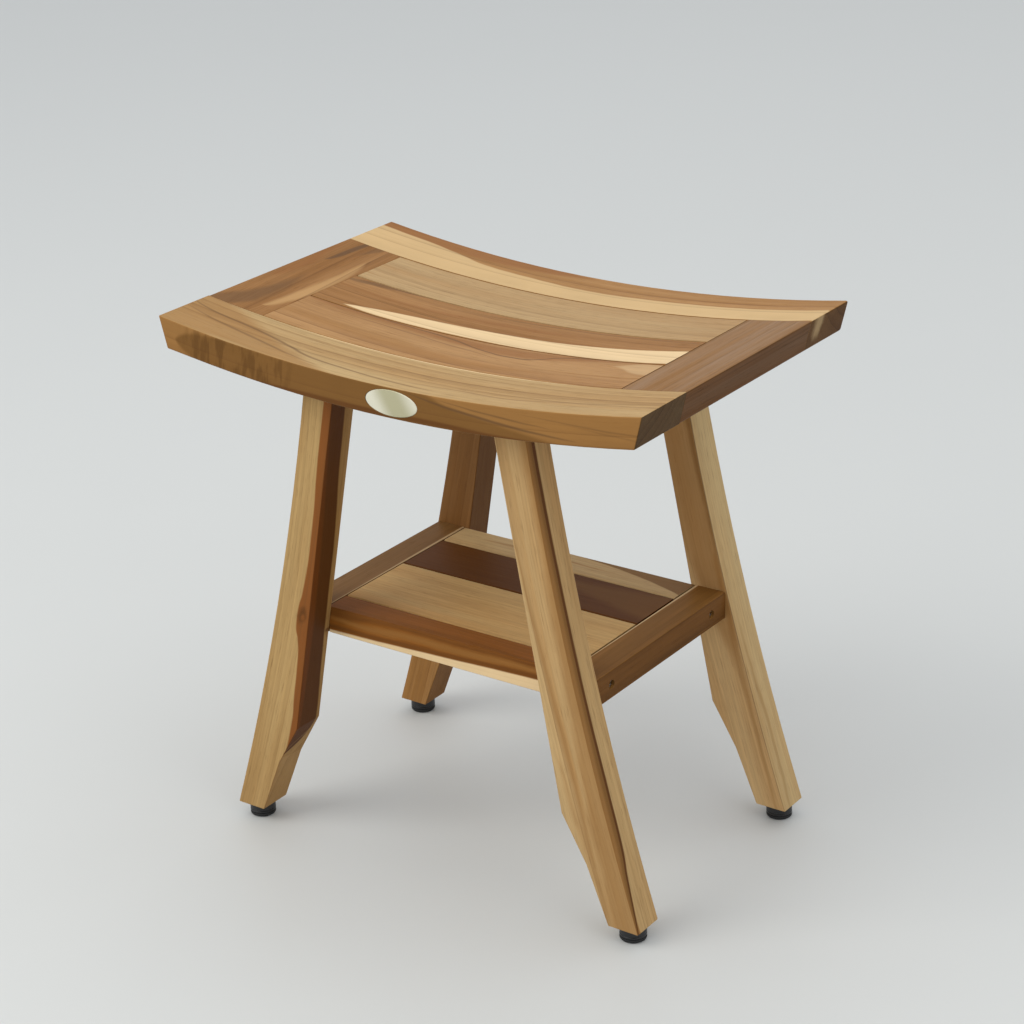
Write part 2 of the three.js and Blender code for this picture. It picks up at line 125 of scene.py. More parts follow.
class StoolFixings(PropertyGroup):
    thread_pitch: length_setting("Stud pitch", "Rise of a foot's stud in one turn", 1.25, 0.2)
    thread_depth: length_setting("Thread depth", "Depth of the stud's thread", 0.6)
    screw_pitch: length_setting("Screw pitch", "Rise of a wood screw in one turn", 1.9, 0.2)
    drive_width: length_setting("Drive width", "Width of the screws' square recess", 2.6)
    socket_width: length_setting("Stud socket", "Width across the foot studs' hexagonal socket", 5)
    bolt_socket: length_setting("Bolt socket", "Width across the shelf bolts' hexagonal socket", 3)
    slot_width: length_setting("Slot width", "Width of the barrel nuts' screwdriver slot", 1.2)
    plug_fill: length_setting("Plug fill", "How much wider a plug is turned, to fill its bore", 0.58)
    round_steps: IntProperty(
        name="Round steps", description="Sides of the turned metal and rubber pieces",
        default=48, min=12, max=128,
    )


class StoolStage(PropertyGroup):
    camera_place: FloatVectorProperty(
        name="Camera place", description="Where the camera stands", default=(1.15057, -1.58659, 1.09877),
        size=3, subtype="TRANSLATION", unit="LENGTH",
    )
    azimuth: FloatProperty(
        name="Azimuth", description="Direction that the camera stands in, round from the front",
        default=math.radians(35.88), subtype="ANGLE", unit="ROTATION",
    )
    elevation: FloatProperty(
        name="Elevation", description="Height of the camera above the level, as an angle",
        default=math.radians(22.65), subtype="ANGLE", unit="ROTATION",
    )
    roll: FloatProperty(
        name="Roll", description="Tilt of the camera about its own line of sight",
        default=math.radians(-1.95), subtype="ANGLE", unit="ROTATION",
    )
    lens: FloatProperty(name="Lens", description="Focal length in millimetres", default=91.0, min=10.0)
    key_power: FloatProperty(
        name="Key light", description="Power of the large soft lamp, front left and above",
        default=37.0, min=0.0, subtype="POWER", unit="POWER",
    )
    side_power: FloatProperty(
        name="Side light", description="Power of the soft lamp on the right",
        default=7.0, min=0.0, subtype="POWER", unit="POWER",
    )
    top_power: FloatProperty(
        name="Top light", description="Power of the broad soft lamp overhead",
        default=22.0, min=0.0, subtype="POWER", unit="POWER",
    )
    room_light: FloatProperty(name="Room light", description="Strength of the light all round",
                              default=0.82, min=0.0)
    floor: colour_setting("Floor", "Pale plain floor", 205, 206, 203)


class StoolSettings(PropertyGroup):
    shape: PointerProperty(type=StoolShape)
    timber: PointerProperty(type=StoolTimber)
    fixings: PointerProperty(type=StoolFixings)
    stage: PointerProperty(type=StoolStage)


# ---- Handling pieces ----

def take_up(*pieces):
    """Leaves only these pieces selected, the first one active."""
    if bpy.context.object and bpy.context.object.mode != "OBJECT":
        bpy.ops.object.mode_set(mode="OBJECT")
    bpy.ops.object.select_all(action="DESELECT")
    for piece in pieces:
        piece.select_set(True)
    bpy.context.view_layer.objects.active = pieces[0]


def copy_of_node(node, name=None):
    """A welded copy of a CAD node, with its flat faces made whole."""
    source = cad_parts[node]
    piece = bpy.data.objects.new(name or node + ".eased", source.data.copy())
    bpy.context.scene.collection.objects.link(piece)
    piece.data.materials.clear()
    while piece.data.uv_layers:
        piece.data.uv_layers.remove(piece.data.uv_layers[0])
    take_up(piece)
    if piece.data.has_custom_normals:
        bpy.ops.mesh.customdata_custom_splitnormals_clear()
    bpy.ops.object.mode_set(mode="EDIT")
    bpy.ops.mesh.select_all(action="SELECT")
    bpy.ops.mesh.remove_doubles(threshold=2e-6)
    bpy.ops.mesh.dissolve_limited(angle_limit=math.radians(0.2), delimit={"NORMAL"})
    bpy.ops.object.mode_set(mode="OBJECT")
    return piece


def pick_edges(piece, rule, fold=(0, 180)):
    """Selects the edges whose faces meet at a fold between these degrees and whose ends pass the rule."""
    mesh = piece.data
    beside = {}
    for face in mesh.polygons:
        for key in face.edge_keys:
            beside.setdefault(key, []).append(face.normal)
    for things in (mesh.vertices, mesh.polygons, mesh.edges):
        things.foreach_set("select", [False] * len(things))
    picked = 0
    for edge in mesh.edges:
        normals = beside.get(edge.key, ())
        if len(normals) != 2:
            continue
        angle = math.degrees(normals[0].angle(normals[1], 0.0))
        a, b = (mesh.vertices[i].co for i in edge.vertices)
        if fold[0] <= angle <= fold[1] and rule(a, b):
            edge.select = True
            picked += 1
    bpy.context.tool_settings.mesh_select_mode = (False, True, False)
    return picked


def ease(piece, width, rule, segments=3, fold=(14, 180)):
    """Rounds the sharp edges that pass the rule."""
    take_up(piece)
    if not pick_edges(piece, rule, fold):
        raise RuntimeError(f"{piece.name}: no edge to ease")
    bpy.ops.object.mode_set(mode="EDIT")
    bpy.ops.mesh.bevel(
        offset=width, offset_type="OFFSET", segments=segments, profile=0.5,
        affect="EDGES", clamp_overlap=True, miter_outer="SHARP",
    )
    bpy.ops.object.mode_set(mode="OBJECT")


def smooth(piece, angle=32):
    """Smooth shading that keeps wide faces flat and folds sharp."""
    take_up(piece)
    bpy.ops.object.shade_smooth_by_angle(angle=math.radians(angle), keep_sharp_edges=True)
    modifier = piece.modifiers.new("Even shading", "WEIGHTED_NORMAL")
    modifier.keep_sharp = True
    modifier.weight = 80
    bpy.ops.object.modifier_apply(modifier=modifier.name)


def hand_in(piece, body, slot, *nodes):
    """Makes a piece ride on its body, take its slot, and stand for its nodes."""
    take_up(piece)
    bpy.ops.object.transform_apply(location=True, rotation=True, scale=True)
    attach(piece, body)
    if nodes:
        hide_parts(*nodes)
    return piece


# ---- Building materials ----

class Bench:
    """Adds nodes to one tree and joins them up."""

    def __init__(self, tree):
        self.tree = tree

    def node(self, kind, inputs=None, **settings):
        made = self.tree.nodes.new(kind)
        place = len(self.tree.nodes)
        made.location = (220 * (place // 6), -260 * (place % 6))
        for name, value in settings.items():
            setattr(made, name, value)
        for key, value in (inputs or {}).items():
            self.feed(made.inputs[key], value)
        return made

    def feed(self, socket, value):
        if isinstance(value, bpy.types.NodeSocket):
            self.tree.links.new(value, socket)
        elif socket.type == "RGBA" and len(value) == 3:
            socket.default_value = (*value, 1.0)
        else:
            socket.default_value = value

    def math(self, operation, *values, clamp=False):
        made = self.node("ShaderNodeMath", operation=operation, use_clamp=clamp)
        for socket, value in zip(made.inputs, values):
            self.feed(socket, value)
        return made.outputs[0]

    def vector(self, operation, *values):
        made = self.node("ShaderNodeVectorMath", operation=operation)
        for socket, value in zip(made.inputs, values):
            self.feed(socket, value)
        return made.outputs["Value" if operation in ("LENGTH", "DOT_PRODUCT", "DISTANCE") else "Vector"]

    def scaled(self, vector, factor):
        made = self.node("ShaderNodeVectorMath", operation="SCALE")
        self.feed(made.inputs[0], vector)
        self.feed(made.inputs["Scale"], factor)
        return made.outputs[0]

    def combine(self, x, y, z):
        return self.node("ShaderNodeCombineXYZ", {0: x, 1: y, 2: z}).outputs[0]

    def split(self, vector):
        return self.node("ShaderNodeSeparateXYZ", {0: vector}).outputs

    def mix(self, amount, first, second, blend="MIX"):
        made = self.node("ShaderNodeMix", data_type="RGBA", blend_type=blend, clamp_factor=True)
        self.feed(made.inputs[0], amount)
        self.feed(made.inputs[6], first)
        self.feed(made.inputs[7], second)
        return made.outputs[2]

    def step(self, value, start, end, low=0.0, high=1.0):
        """Low before start, high after end, and a smooth rise between; start may be the larger."""
        if start > end:
            start, end, low, high = end, start, high, low
        return self.node("ShaderNodeMapRange", {
            "Value": value, "From Min": start, "From Max": end, "To Min": low, "To Max": high,
        }, interpolation_type="SMOOTHSTEP").outputs[0]

    def noise(self, vector, detail=2.0, roughness=0.5, distortion=0.0):
        return self.node("ShaderNodeTexNoise", {
            "Vector": vector, "Scale": 1.0, "Detail": detail, "Roughness": roughness,
            "Distortion": distortion,
        }).outputs

    def noise_along(self, value, detail=2.0, roughness=0.5):
        return self.node("ShaderNodeTexNoise", {
            "W": value, "Scale": 1.0, "Detail": detail, "Roughness": roughness,
        }, noise_dimensions="1D").outputs[0]

    def chance(self, value):
        return self.node("ShaderNodeTexWhiteNoise", {"W": value}, noise_dimensions="1D").outputs[0]

    def ramp(self, value, *stops):
        made = self.node("ShaderNodeValToRGB", {0: value})
        elements = made.color_ramp.elements
        while len(elements) < len(stops):
            elements.new(0.5)
        for element, (position, level) in zip(elements, stops):
            element.position = position
            element.color = (level, level, level, 1.0)
        return made.outputs[0]

    def curve(self, position, points):
        """A value that follows (position, value) points, where position is 0 to 1."""
        values = [value for _, value in points]
        low, high = min(values), max(values)
        reach = max(high - low, 1e-9)
        made = self.node("ShaderNodeFloatCurve", {"Value": position})
        line = made.mapping.curves[0]
        while len(line.points) < len(points):
            line.points.new(0.5, 0.5)
        for point, (place, value) in zip(line.points, points):
            point.location = (place, (value - low) / reach)
        made.mapping.update()
        return self.math("MULTIPLY_ADD", made.outputs[0], reach, low)


def group_tree(name, inputs, outputs):
    tree = bpy.data.node_groups.new(name, "ShaderNodeTree")
    kinds = {"vector": "NodeSocketVector", "colour": "NodeSocketColor", "value": "NodeSocketFloat"}
    for label, kind in inputs:
        tree.interface.new_socket(name=label, in_out="INPUT", socket_type=kinds[kind])
    for label, kind in outputs:
        tree.interface.new_socket(name=label, in_out="OUTPUT", socket_type=kinds[kind])
    return tree


def use_group(bench, make, inputs):
    """Adds the group that make builds, building it the first time."""
    tree = bpy.data.node_groups.get(make.__doc__) or make()
    made = bench.node("ShaderNodeGroup", node_tree=tree)
    for key, value in inputs.items():
        bench.feed(made.inputs[key], value)
    return made.outputs


def sawn_teak():
    """Sawn teak"""
    tree = group_tree("Sawn teak", [
        ("Place", "vector"), ("Light", "colour"), ("Main", "colour"), ("Line", "colour"),
        ("Spacing", "value"), ("Strength", "value"), ("Wander", "value"), ("Seed", "value"),
    ], [("Colour", "colour"), ("Height", "value"), ("Rings", "value")])
    bench = Bench(tree)
    given = bench.node("NodeGroupInput").outputs
    seed = given["Seed"]
    place = bench.vector("ADD", given["Place"], bench.combine(seed, 0.0, 0.0))
    drift = bench.noise(bench.vector("MULTIPLY", place, (2.6, 15.0, 15.0)), 2.0)[1]
    drift = bench.scaled(bench.vector("SUBTRACT", drift, (0.5, 0.5, 0.5)), given["Wander"])
    grown = bench.vector("ADD", given["Place"], bench.vector("MULTIPLY", drift, (0.0, 1.0, 1.0)))
    radius = bench.vector("LENGTH", bench.vector("MULTIPLY", grown, (0.0, 1.0, 1.0)))
    years = bench.math("DIVIDE", radius, given["Spacing"])
    uneven = bench.noise_along(bench.math("MULTIPLY_ADD", years, 0.4, seed))
    years = bench.math("MULTIPLY_ADD", uneven, 1.6, years)
    year = bench.math("FLOOR", years)
    season = bench.math("FRACT", years)
    mark = bench.chance(bench.math("ADD", year, seed))
    late = bench.ramp(season, (0.0, 0.0), (0.45, 0.08), (0.8, 0.42), (0.94, 1.0), (1.0, 0.0))
    rings = bench.math("MULTIPLY", late, bench.math("MULTIPLY_ADD", bench.math("POWER", mark, 2.2), 0.9,
                                                    0.12))
    fine = bench.noise_along(bench.math("MULTIPLY", radius, 1150.0), 2.0, 0.6)
    fibre = bench.noise(bench.vector("MULTIPLY", place, (11.0, 520.0, 520.0)), 4.0, 0.62)[0]
    broad = bench.noise(bench.vector("MULTIPLY", place, (3.2, 36.0, 36.0)), 3.0, 0.55)[0]
    pores = bench.noise(bench.vector("MULTIPLY", place, (55.0, 1500.0, 1500.0)), 1.0)[0]
    pores = bench.step(pores, 0.60, 0.72)
    body = bench.math("MULTIPLY_ADD", bench.step(broad, 0.3, 0.72), 0.75,
                      bench.math("MULTIPLY", mark, 0.35))
    colour = bench.mix(body, given["Light"], given["Main"])
    lines = bench.math("MULTIPLY_ADD", bench.step(fine, 0.5, 0.75), 0.14, rings)
    lines = bench.math("MULTIPLY", lines, given["Strength"], clamp=True)
    colour = bench.mix(lines, colour, given["Line"])
    colour = bench.mix(bench.math("MULTIPLY", pores, 0.32), colour, given["Line"])
    grey = bench.math("MULTIPLY_ADD", fibre, 0.5, 0.75)
    colour = bench.mix(1.0, colour, bench.combine(grey, grey, grey), "MULTIPLY")
    height = bench.math("MULTIPLY_ADD", fibre, 0.7, bench.math("MULTIPLY", pores, -0.6))
    height = bench.math("MULTIPLY_ADD", lines, -0.35, height)
    bench.node("NodeGroupOutput", {"Colour": colour, "Height": height, "Rings": rings})
    return tree


def seat_space(bench, radius, centre):
    """Along the seat's curve, across it toward the back, and down from its top face."""
    x, y, z = bench.split(bench.node("ShaderNodeTexCoord").outputs["Object"])[:3]
    drop = bench.math("SUBTRACT", centre, z)
    along = bench.math("MULTIPLY", bench.math("ARCTAN2", x, drop), radius)
    away = bench.math("SQRT", bench.math("ADD", bench.math("MULTIPLY", x, x),
                                         bench.math("MULTIPLY", drop, drop)))
    return along, y, bench.math("SUBTRACT", away, radius)


class Timber:
    """One wooden piece's material, built up from the sawn timber outward."""

    def __init__(self, name, settings):
        self.name = name
        self.settings = settings
        self.timber = settings.timber
        self.material = bpy.data.materials.new(name)
        self.material.use_nodes = True
        self.material.node_tree.nodes.clear()
        self.bench = Bench(self.material.node_tree)
        self.coordinates = self.bench.node("ShaderNodeTexCoord").outputs
        self.grain = (1.0, 0.0, 0.0)

    def shade(self, colour):
        return getattr(self.timber, colour)

    def on_seat(self, cross=False):
        """Grain along the seat's curve, or for the end rails straight across the seat."""
        bench = self.bench
        radius, centre = seat_arc(self.settings)
        along, back, down = seat_space(bench, radius, centre)
        self.along, self.across, self.down = (back, along, down) if cross else (along, back, down)
        self.grain = (0.0, 1.0, 0.0) if cross else (1.0, 0.0, 0.0)
        return self

    def on_shelf(self, cross=False):
        """Grain along the shelf, or for its end rails across it; down from the shelf's top."""
        x, y, z = self.bench.split(self.coordinates["Object"])[:3]
        down = self.bench.math("SUBTRACT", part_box("shelf_front_board")[1].z, z)
        self.along, self.across, self.down = (y, x, down) if cross else (x, y, down)
        self.grain = (0.0, 1.0, 0.0) if cross else (1.0, 0.0, 0.0)
        return self

    def on_bearer(self):
        x, y, z = self.bench.split(self.coordinates["Object"])[:3]
        self.along, self.across, self.down = y, x, z
        self.grain = (0.0, 1.0, 0.0)
        return self

    def on_leg(self, side_x, side_y):
        """Up from the floor, in from the leg's outer edge, and in from its outer face."""
        bench = self.bench
        x, y, z = bench.split(self.coordinates["Object"])[:3]
        self.along = z
        self.across = bench.math("SUBTRACT", leg_edge(bench, z, self.settings),
                                 bench.math("MULTIPLY", x, side_x))
        self.down = bench.math("SUBTRACT", leg_face(bench, z, self.settings),
                               bench.math("MULTIPLY", y, side_y))
        self.grain = (0.0, 0.0, 1.0)
        return self

    def grow(self, light, main, heart, spacing=6.0, strength=0.6, wander=10.0, tilt=(0.0, 0.0), seed=1.0,
             line=None,
             tone=(1.0, 1.0, 1.0)):
        """Cuts the piece from a log whose heart is at (across, down), in millimetres."""
        bench = self.bench
        place = bench.combine(self.along, self.across, self.down)
        place = bench.node("ShaderNodeMapping", {
            "Vector": place, "Location": (0.0, -heart[0] * MM, -heart[1] * MM),
        }).outputs[0]
        place = bench.node("ShaderNodeMapping", {
            "Vector": place, "Rotation": (0.0, math.radians(tilt[0]), math.radians(tilt[1])),
        }).outputs[0]
        made = use_group(bench, sawn_teak, {
            "Place": place, "Light": self.shade(light), "Main": self.shade(main),
            "Line": self.shade(line or "growth_line"), "Spacing": spacing * MM, "Strength": strength,
            "Wander": wander * MM, "Seed": seed,
        })
        self.colour, self.height, self.rings = bench.vector("MULTIPLY", made[0], tone), made[1], made[2]
        self.place = place
        waver = bench.noise(bench.combine(
            bench.math("MULTIPLY", self.along, 14.0), bench.math("MULTIPLY", self.across, 30.0),
            bench.math("MULTIPLY_ADD", self.down, 30.0, seed)), 3.0, 0.6)[0]
        self.waver = bench.math("SUBTRACT", waver, 0.5)
        return self

    def facing(self, x, y, z):
        """How far a face looks this way, sharpened to 0 or 1."""
        looks = self.bench.vector("DOT_PRODUCT", self.coordinates["Normal"], (x, y, z))
        return self.bench.step(looks, 0.5, 0.8)

    def band(self, path, colour, amount=1.0, soft=2.0, face=None, by="across", waver=3.0, veined=0.35):
        """Lays another colour along a path of (along, middle, half width) in millimetres.

        A half width under nothing ends the band. It is veined with the growth rings.
        """
        bench = self.bench
        low, high = path[0][0], path[-1][0]
        share = bench.node("ShaderNodeMapRange", {
            "Value": self.along, "From Min": low * MM, "From Max": high * MM,
        }).outputs[0]
        at = [(point[0] - low) / (high - low) for point in path]
        middle = bench.curve(share, [(a, point[1] * MM) for a, point in zip(at, path)])
        half = bench.curve(share, [(a, point[2] * MM) for a, point in zip(at, path)])
        line = self.across if by == "across" else self.down
        line = bench.math("MULTIPLY_ADD", self.waver, waver * MM, line)
        apart = bench.math("ABSOLUTE", bench.math("SUBTRACT", line, middle))
        apart = bench.math("SUBTRACT", apart, half)
        mask = bench.step(apart, soft * MM / 2, -soft * MM / 2)
        if face is not None:
            mask = bench.math("MULTIPLY", mask, self.facing(*face))
        mask = bench.math("MULTIPLY", mask, amount)
        shade = self.shade(colour)
        vein = bench.math("MULTIPLY", self.rings, veined, clamp=True)
        shade = bench.mix(vein, shade, self.timber.growth_line)
        tone = bench.math("MULTIPLY_ADD", self.waver, 0.25, 1.0)
        shade = bench.mix(1.0, shade, bench.combine(tone, tone, tone), "MULTIPLY")
        self.colour = bench.mix(mask, self.colour, shade)
        return self

    def knot(self, along, across, down, radius, stretch=2.0, colour="umber", amount=0.8):
        """A knot, or a burr of dark grain, stretched along the grain."""
        bench = self.bench
        here = bench.combine(
            bench.math("MULTIPLY_ADD", self.along, 1 / stretch, -along * MM / stretch),
            bench.math("SUBTRACT", self.across, across * MM),
            bench.math("MULTIPLY", bench.math("SUBTRACT", self.down, down * MM), 0.5),
        )
        away = bench.vector("LENGTH", here)
        rough = bench.noise(bench.scaled(here, 120.0), 3.0, 0.6)[0]
        away = bench.math("MULTIPLY_ADD", bench.math("SUBTRACT", rough, 0.5), radius * MM, away)
        mask = bench.step(away, radius * MM, radius * MM * 0.25)
        mask = bench.math("MULTIPLY", mask, amount)
        self.colour = bench.mix(mask, self.colour, self.shade(colour))
        return self

    def face_tone_and_shade(self, face, red, green, blue):
        """Takes the faces that look this way down, or up, by a factor for each channel."""
        bench = self.bench
        toned_and_shaded = bench.vector("MULTIPLY", self.colour, (red, green, blue))
        self.colour = bench.mix(self.facing(*face), self.colour, toned_and_shaded)
        return self

    def curl(self, start, end, face, amount=0.3, size=6.0):
        """Curly figure: soft dark bars across the grain between two places along the piece."""
        bench = self.bench
        bars = bench.noise(bench.combine(
            bench.math("MULTIPLY", self.along, 1000.0 / size), bench.math("MULTIPLY", self.across, 25.0),
            bench.math("MULTIPLY", self.down, 40.0)), 2.0, 0.6)[0]
        bars = bench.step(bars, 0.42, 0.62)
        fade = (end - start) * 0.2 * MM
        reach = bench.math("MULTIPLY", bench.step(self.along, start * MM, start * MM + fade),
                           bench.step(self.along, end * MM, end * MM - fade))
        mask = bench.math("MULTIPLY", bench.math("MULTIPLY", bars, reach), self.facing(*face))
        dark = bench.vector("MULTIPLY", self.colour, (0.55, 0.5, 0.42))
        self.colour = bench.mix(bench.math("MULTIPLY", mask, amount), self.colour, dark)
        return self

    def finish(self, brightness=1.0):
        """End grain, worn edges, then the oiled surface."""
        bench = self.bench
        normal = self.coordinates["Normal"]
        ends = bench.math("ABSOLUTE", bench.vector("DOT_PRODUCT", normal, self.grain))
        ends = bench.step(ends, 0.7, 0.92)
        dim = bench.math("MULTIPLY_ADD", ends, (self.timber.end_grain - 1.0) * brightness, brightness)
        colour = bench.mix(1.0, self.colour, bench.combine(dim, dim, dim), "MULTIPLY")
        rough = bench.math("MULTIPLY_ADD", self.height, -0.14, self.timber.sheen_roughness + 0.05,
                           clamp=True)
        bump = bench.node("ShaderNodeBump", {
            "Height": self.height, "Strength": 0.35, "Distance": 0.00035,
        }).outputs[0]
        shader = bench.node("ShaderNodeBsdfPrincipled", {
            "Base Color": colour, "Roughness": rough, "Normal": bump,
            "Specular IOR Level": self.timber.sheen,
        })
        bench.node("ShaderNodeOutputMaterial", {0: shader.outputs[0]})
        return self.material


def seat_arc(settings):
    """Radius and centre height of the seat's curve."""
    low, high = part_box("seat_front_rail")
    half, dip = (high.x - low.x) / 2, settings.shape.seat_dip
    radius = (half ** 2 + dip ** 2) / (2 * dip)
    return radius, high.z - dip + radius


def leg_share(bench, z):
    low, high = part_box("leg_front_left")
    return bench.math("DIVIDE", bench.math("SUBTRACT", high.z, z), high.z - low.z)


def leg_edge(bench, z, settings):
    """Reach of a leg's outer edge at a height."""
    top = settings.shape.leg_top_reach
    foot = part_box("leg_front_right")[1].x
    share = leg_share(bench, z)
    straight = bench.math("MULTIPLY_ADD", share, foot - top, top)
    bow = bench.math("MULTIPLY", share, bench.math("SUBTRACT", 1.0, share))
    return bench.math("MULTIPLY_ADD", bow, -4 * settings.shape.leg_bow, straight)


def leg_face(bench, z, settings):
    """Depth of a leg's outer face at a height."""
    top = settings.shape.leg_top_depth
    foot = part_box("leg_back_right")[1].y
    return bench.math("MULTIPLY_ADD", leg_share(bench, z), foot - top, top)


def plain_material(name, colour, roughness, metallic=0.0, grain=400.0, variation=0.12, bump=0.2,
                   depth=0.0002):
    """A material with a fine cast, ground or moulded surface."""
    material = bpy.data.materials.new(name)
    material.use_nodes = True
    material.node_tree.nodes.clear()
    bench = Bench(material.node_tree)
    place = bench.node("ShaderNodeTexCoord").outputs["Object"]
    fine = bench.noise(bench.scaled(place, grain), 3.0, 0.6)[0]
    broad = bench.noise(bench.scaled(place, grain * 0.08), 2.0)[0]
    tone = bench.math("MULTIPLY_ADD", broad, variation * 2, 1.0 - variation)
    tone = bench.math("MULTIPLY_ADD", fine, variation, tone)
    shade = bench.mix(1.0, colour, bench.combine(tone, tone, tone), "MULTIPLY")
    rough = bench.math("MULTIPLY_ADD", fine, 0.16, roughness - 0.08, clamp=True)
    normal = bench.node("ShaderNodeBump", {"Height": fine, "Strength": bump, "Distance": depth}).outputs[0]
    shader = bench.node("ShaderNodeBsdfPrincipled", {
        "Base Color": shade, "Roughness": rough, "Metallic": metallic, "Normal": normal,
    })
    bench.node("ShaderNodeOutputMaterial", {0: shader.outputs[0]})
    return material


# ---- Turned pieces ----

def turned(name, profile, steps, ring=False):
    """A round piece about Z, drawn out of a circle along a profile of (radius, height).

    A solid is closed by its two flat ends, and a ring by joining its last circle to its first.
    """
    bpy.ops.object.select_all(action="DESELECT")
    radius, height = profile[0]
    bpy.ops.mesh.primitive_circle_add(
        vertices=steps, radius=radius, location=(0.0, 0.0, height), fill_type="NOTHING" if ring else "NGON",
    )
    piece = bpy.context.object
    piece.name = piece.data.name = name
    bpy.ops.object.transform_apply(location=True, rotation=True, scale=True)
    bpy.ops.object.mode_set(mode="EDIT")
    bpy.ops.mesh.select_all(action="SELECT")
    for (r0, z0), (r1, z1) in zip(profile, profile[1:]):
        bpy.ops.mesh.extrude_region_move(TRANSFORM_OT_translate={"value": (0.0, 0.0, z1 - z0)})
        bpy.ops.transform.resize(value=(r1 / r0, r1 / r0, 1.0), center_override=(0.0, 0.0, z1))
    bpy.ops.mesh.select_all(action="SELECT")
    bpy.ops.mesh.remove_doubles(threshold=1e-7)
    bpy.ops.mesh.normals_make_consistent(inside=False)
    bpy.ops.object.mode_set(mode="OBJECT")
    return piece


def copy_to(piece, name, matrix):
    """A copy with its own mesh, placed by a matrix."""
    copy = piece.copy()
    copy.data = piece.data.copy()
    copy.name = copy.data.name = name
    copy.data.transform(matrix)
    bpy.context.scene.collection.objects.link(copy)
    return copy


# ---- Operators, one for each piece or group of like pieces ----

def on_seat_outline(settings):
    """A rule for the seat's edges: those that lie on its curved top or underside."""
    radius, centre = seat_arc(settings)
    thickness = settings.shape.seat_thickness

    def depth(point):
        return math.hypot(point.x, centre - point.z) - radius

    def outline(a, b):
        return all(abs(depth(p)) < 5e-5 or abs(depth(p) - thickness) < 5e-5 for p in (a, b))

    return outline


def bar_edges(low, high, along, across):
    """A rule for the long edges on the four corners of a straight bar that fills its box."""
    def on_side(point, axis):
        place = getattr(point, axis)
        return min(abs(place - getattr(low, axis)), abs(place - getattr(high, axis))) < SAME_PLACE

    def long_edge(a, b):
        far = abs(getattr(a, along) - getattr(b, along)) > LONG_EDGE
        return far and all(on_side(p, "z") and on_side(p, across) for p in (a, b))

    return long_edge


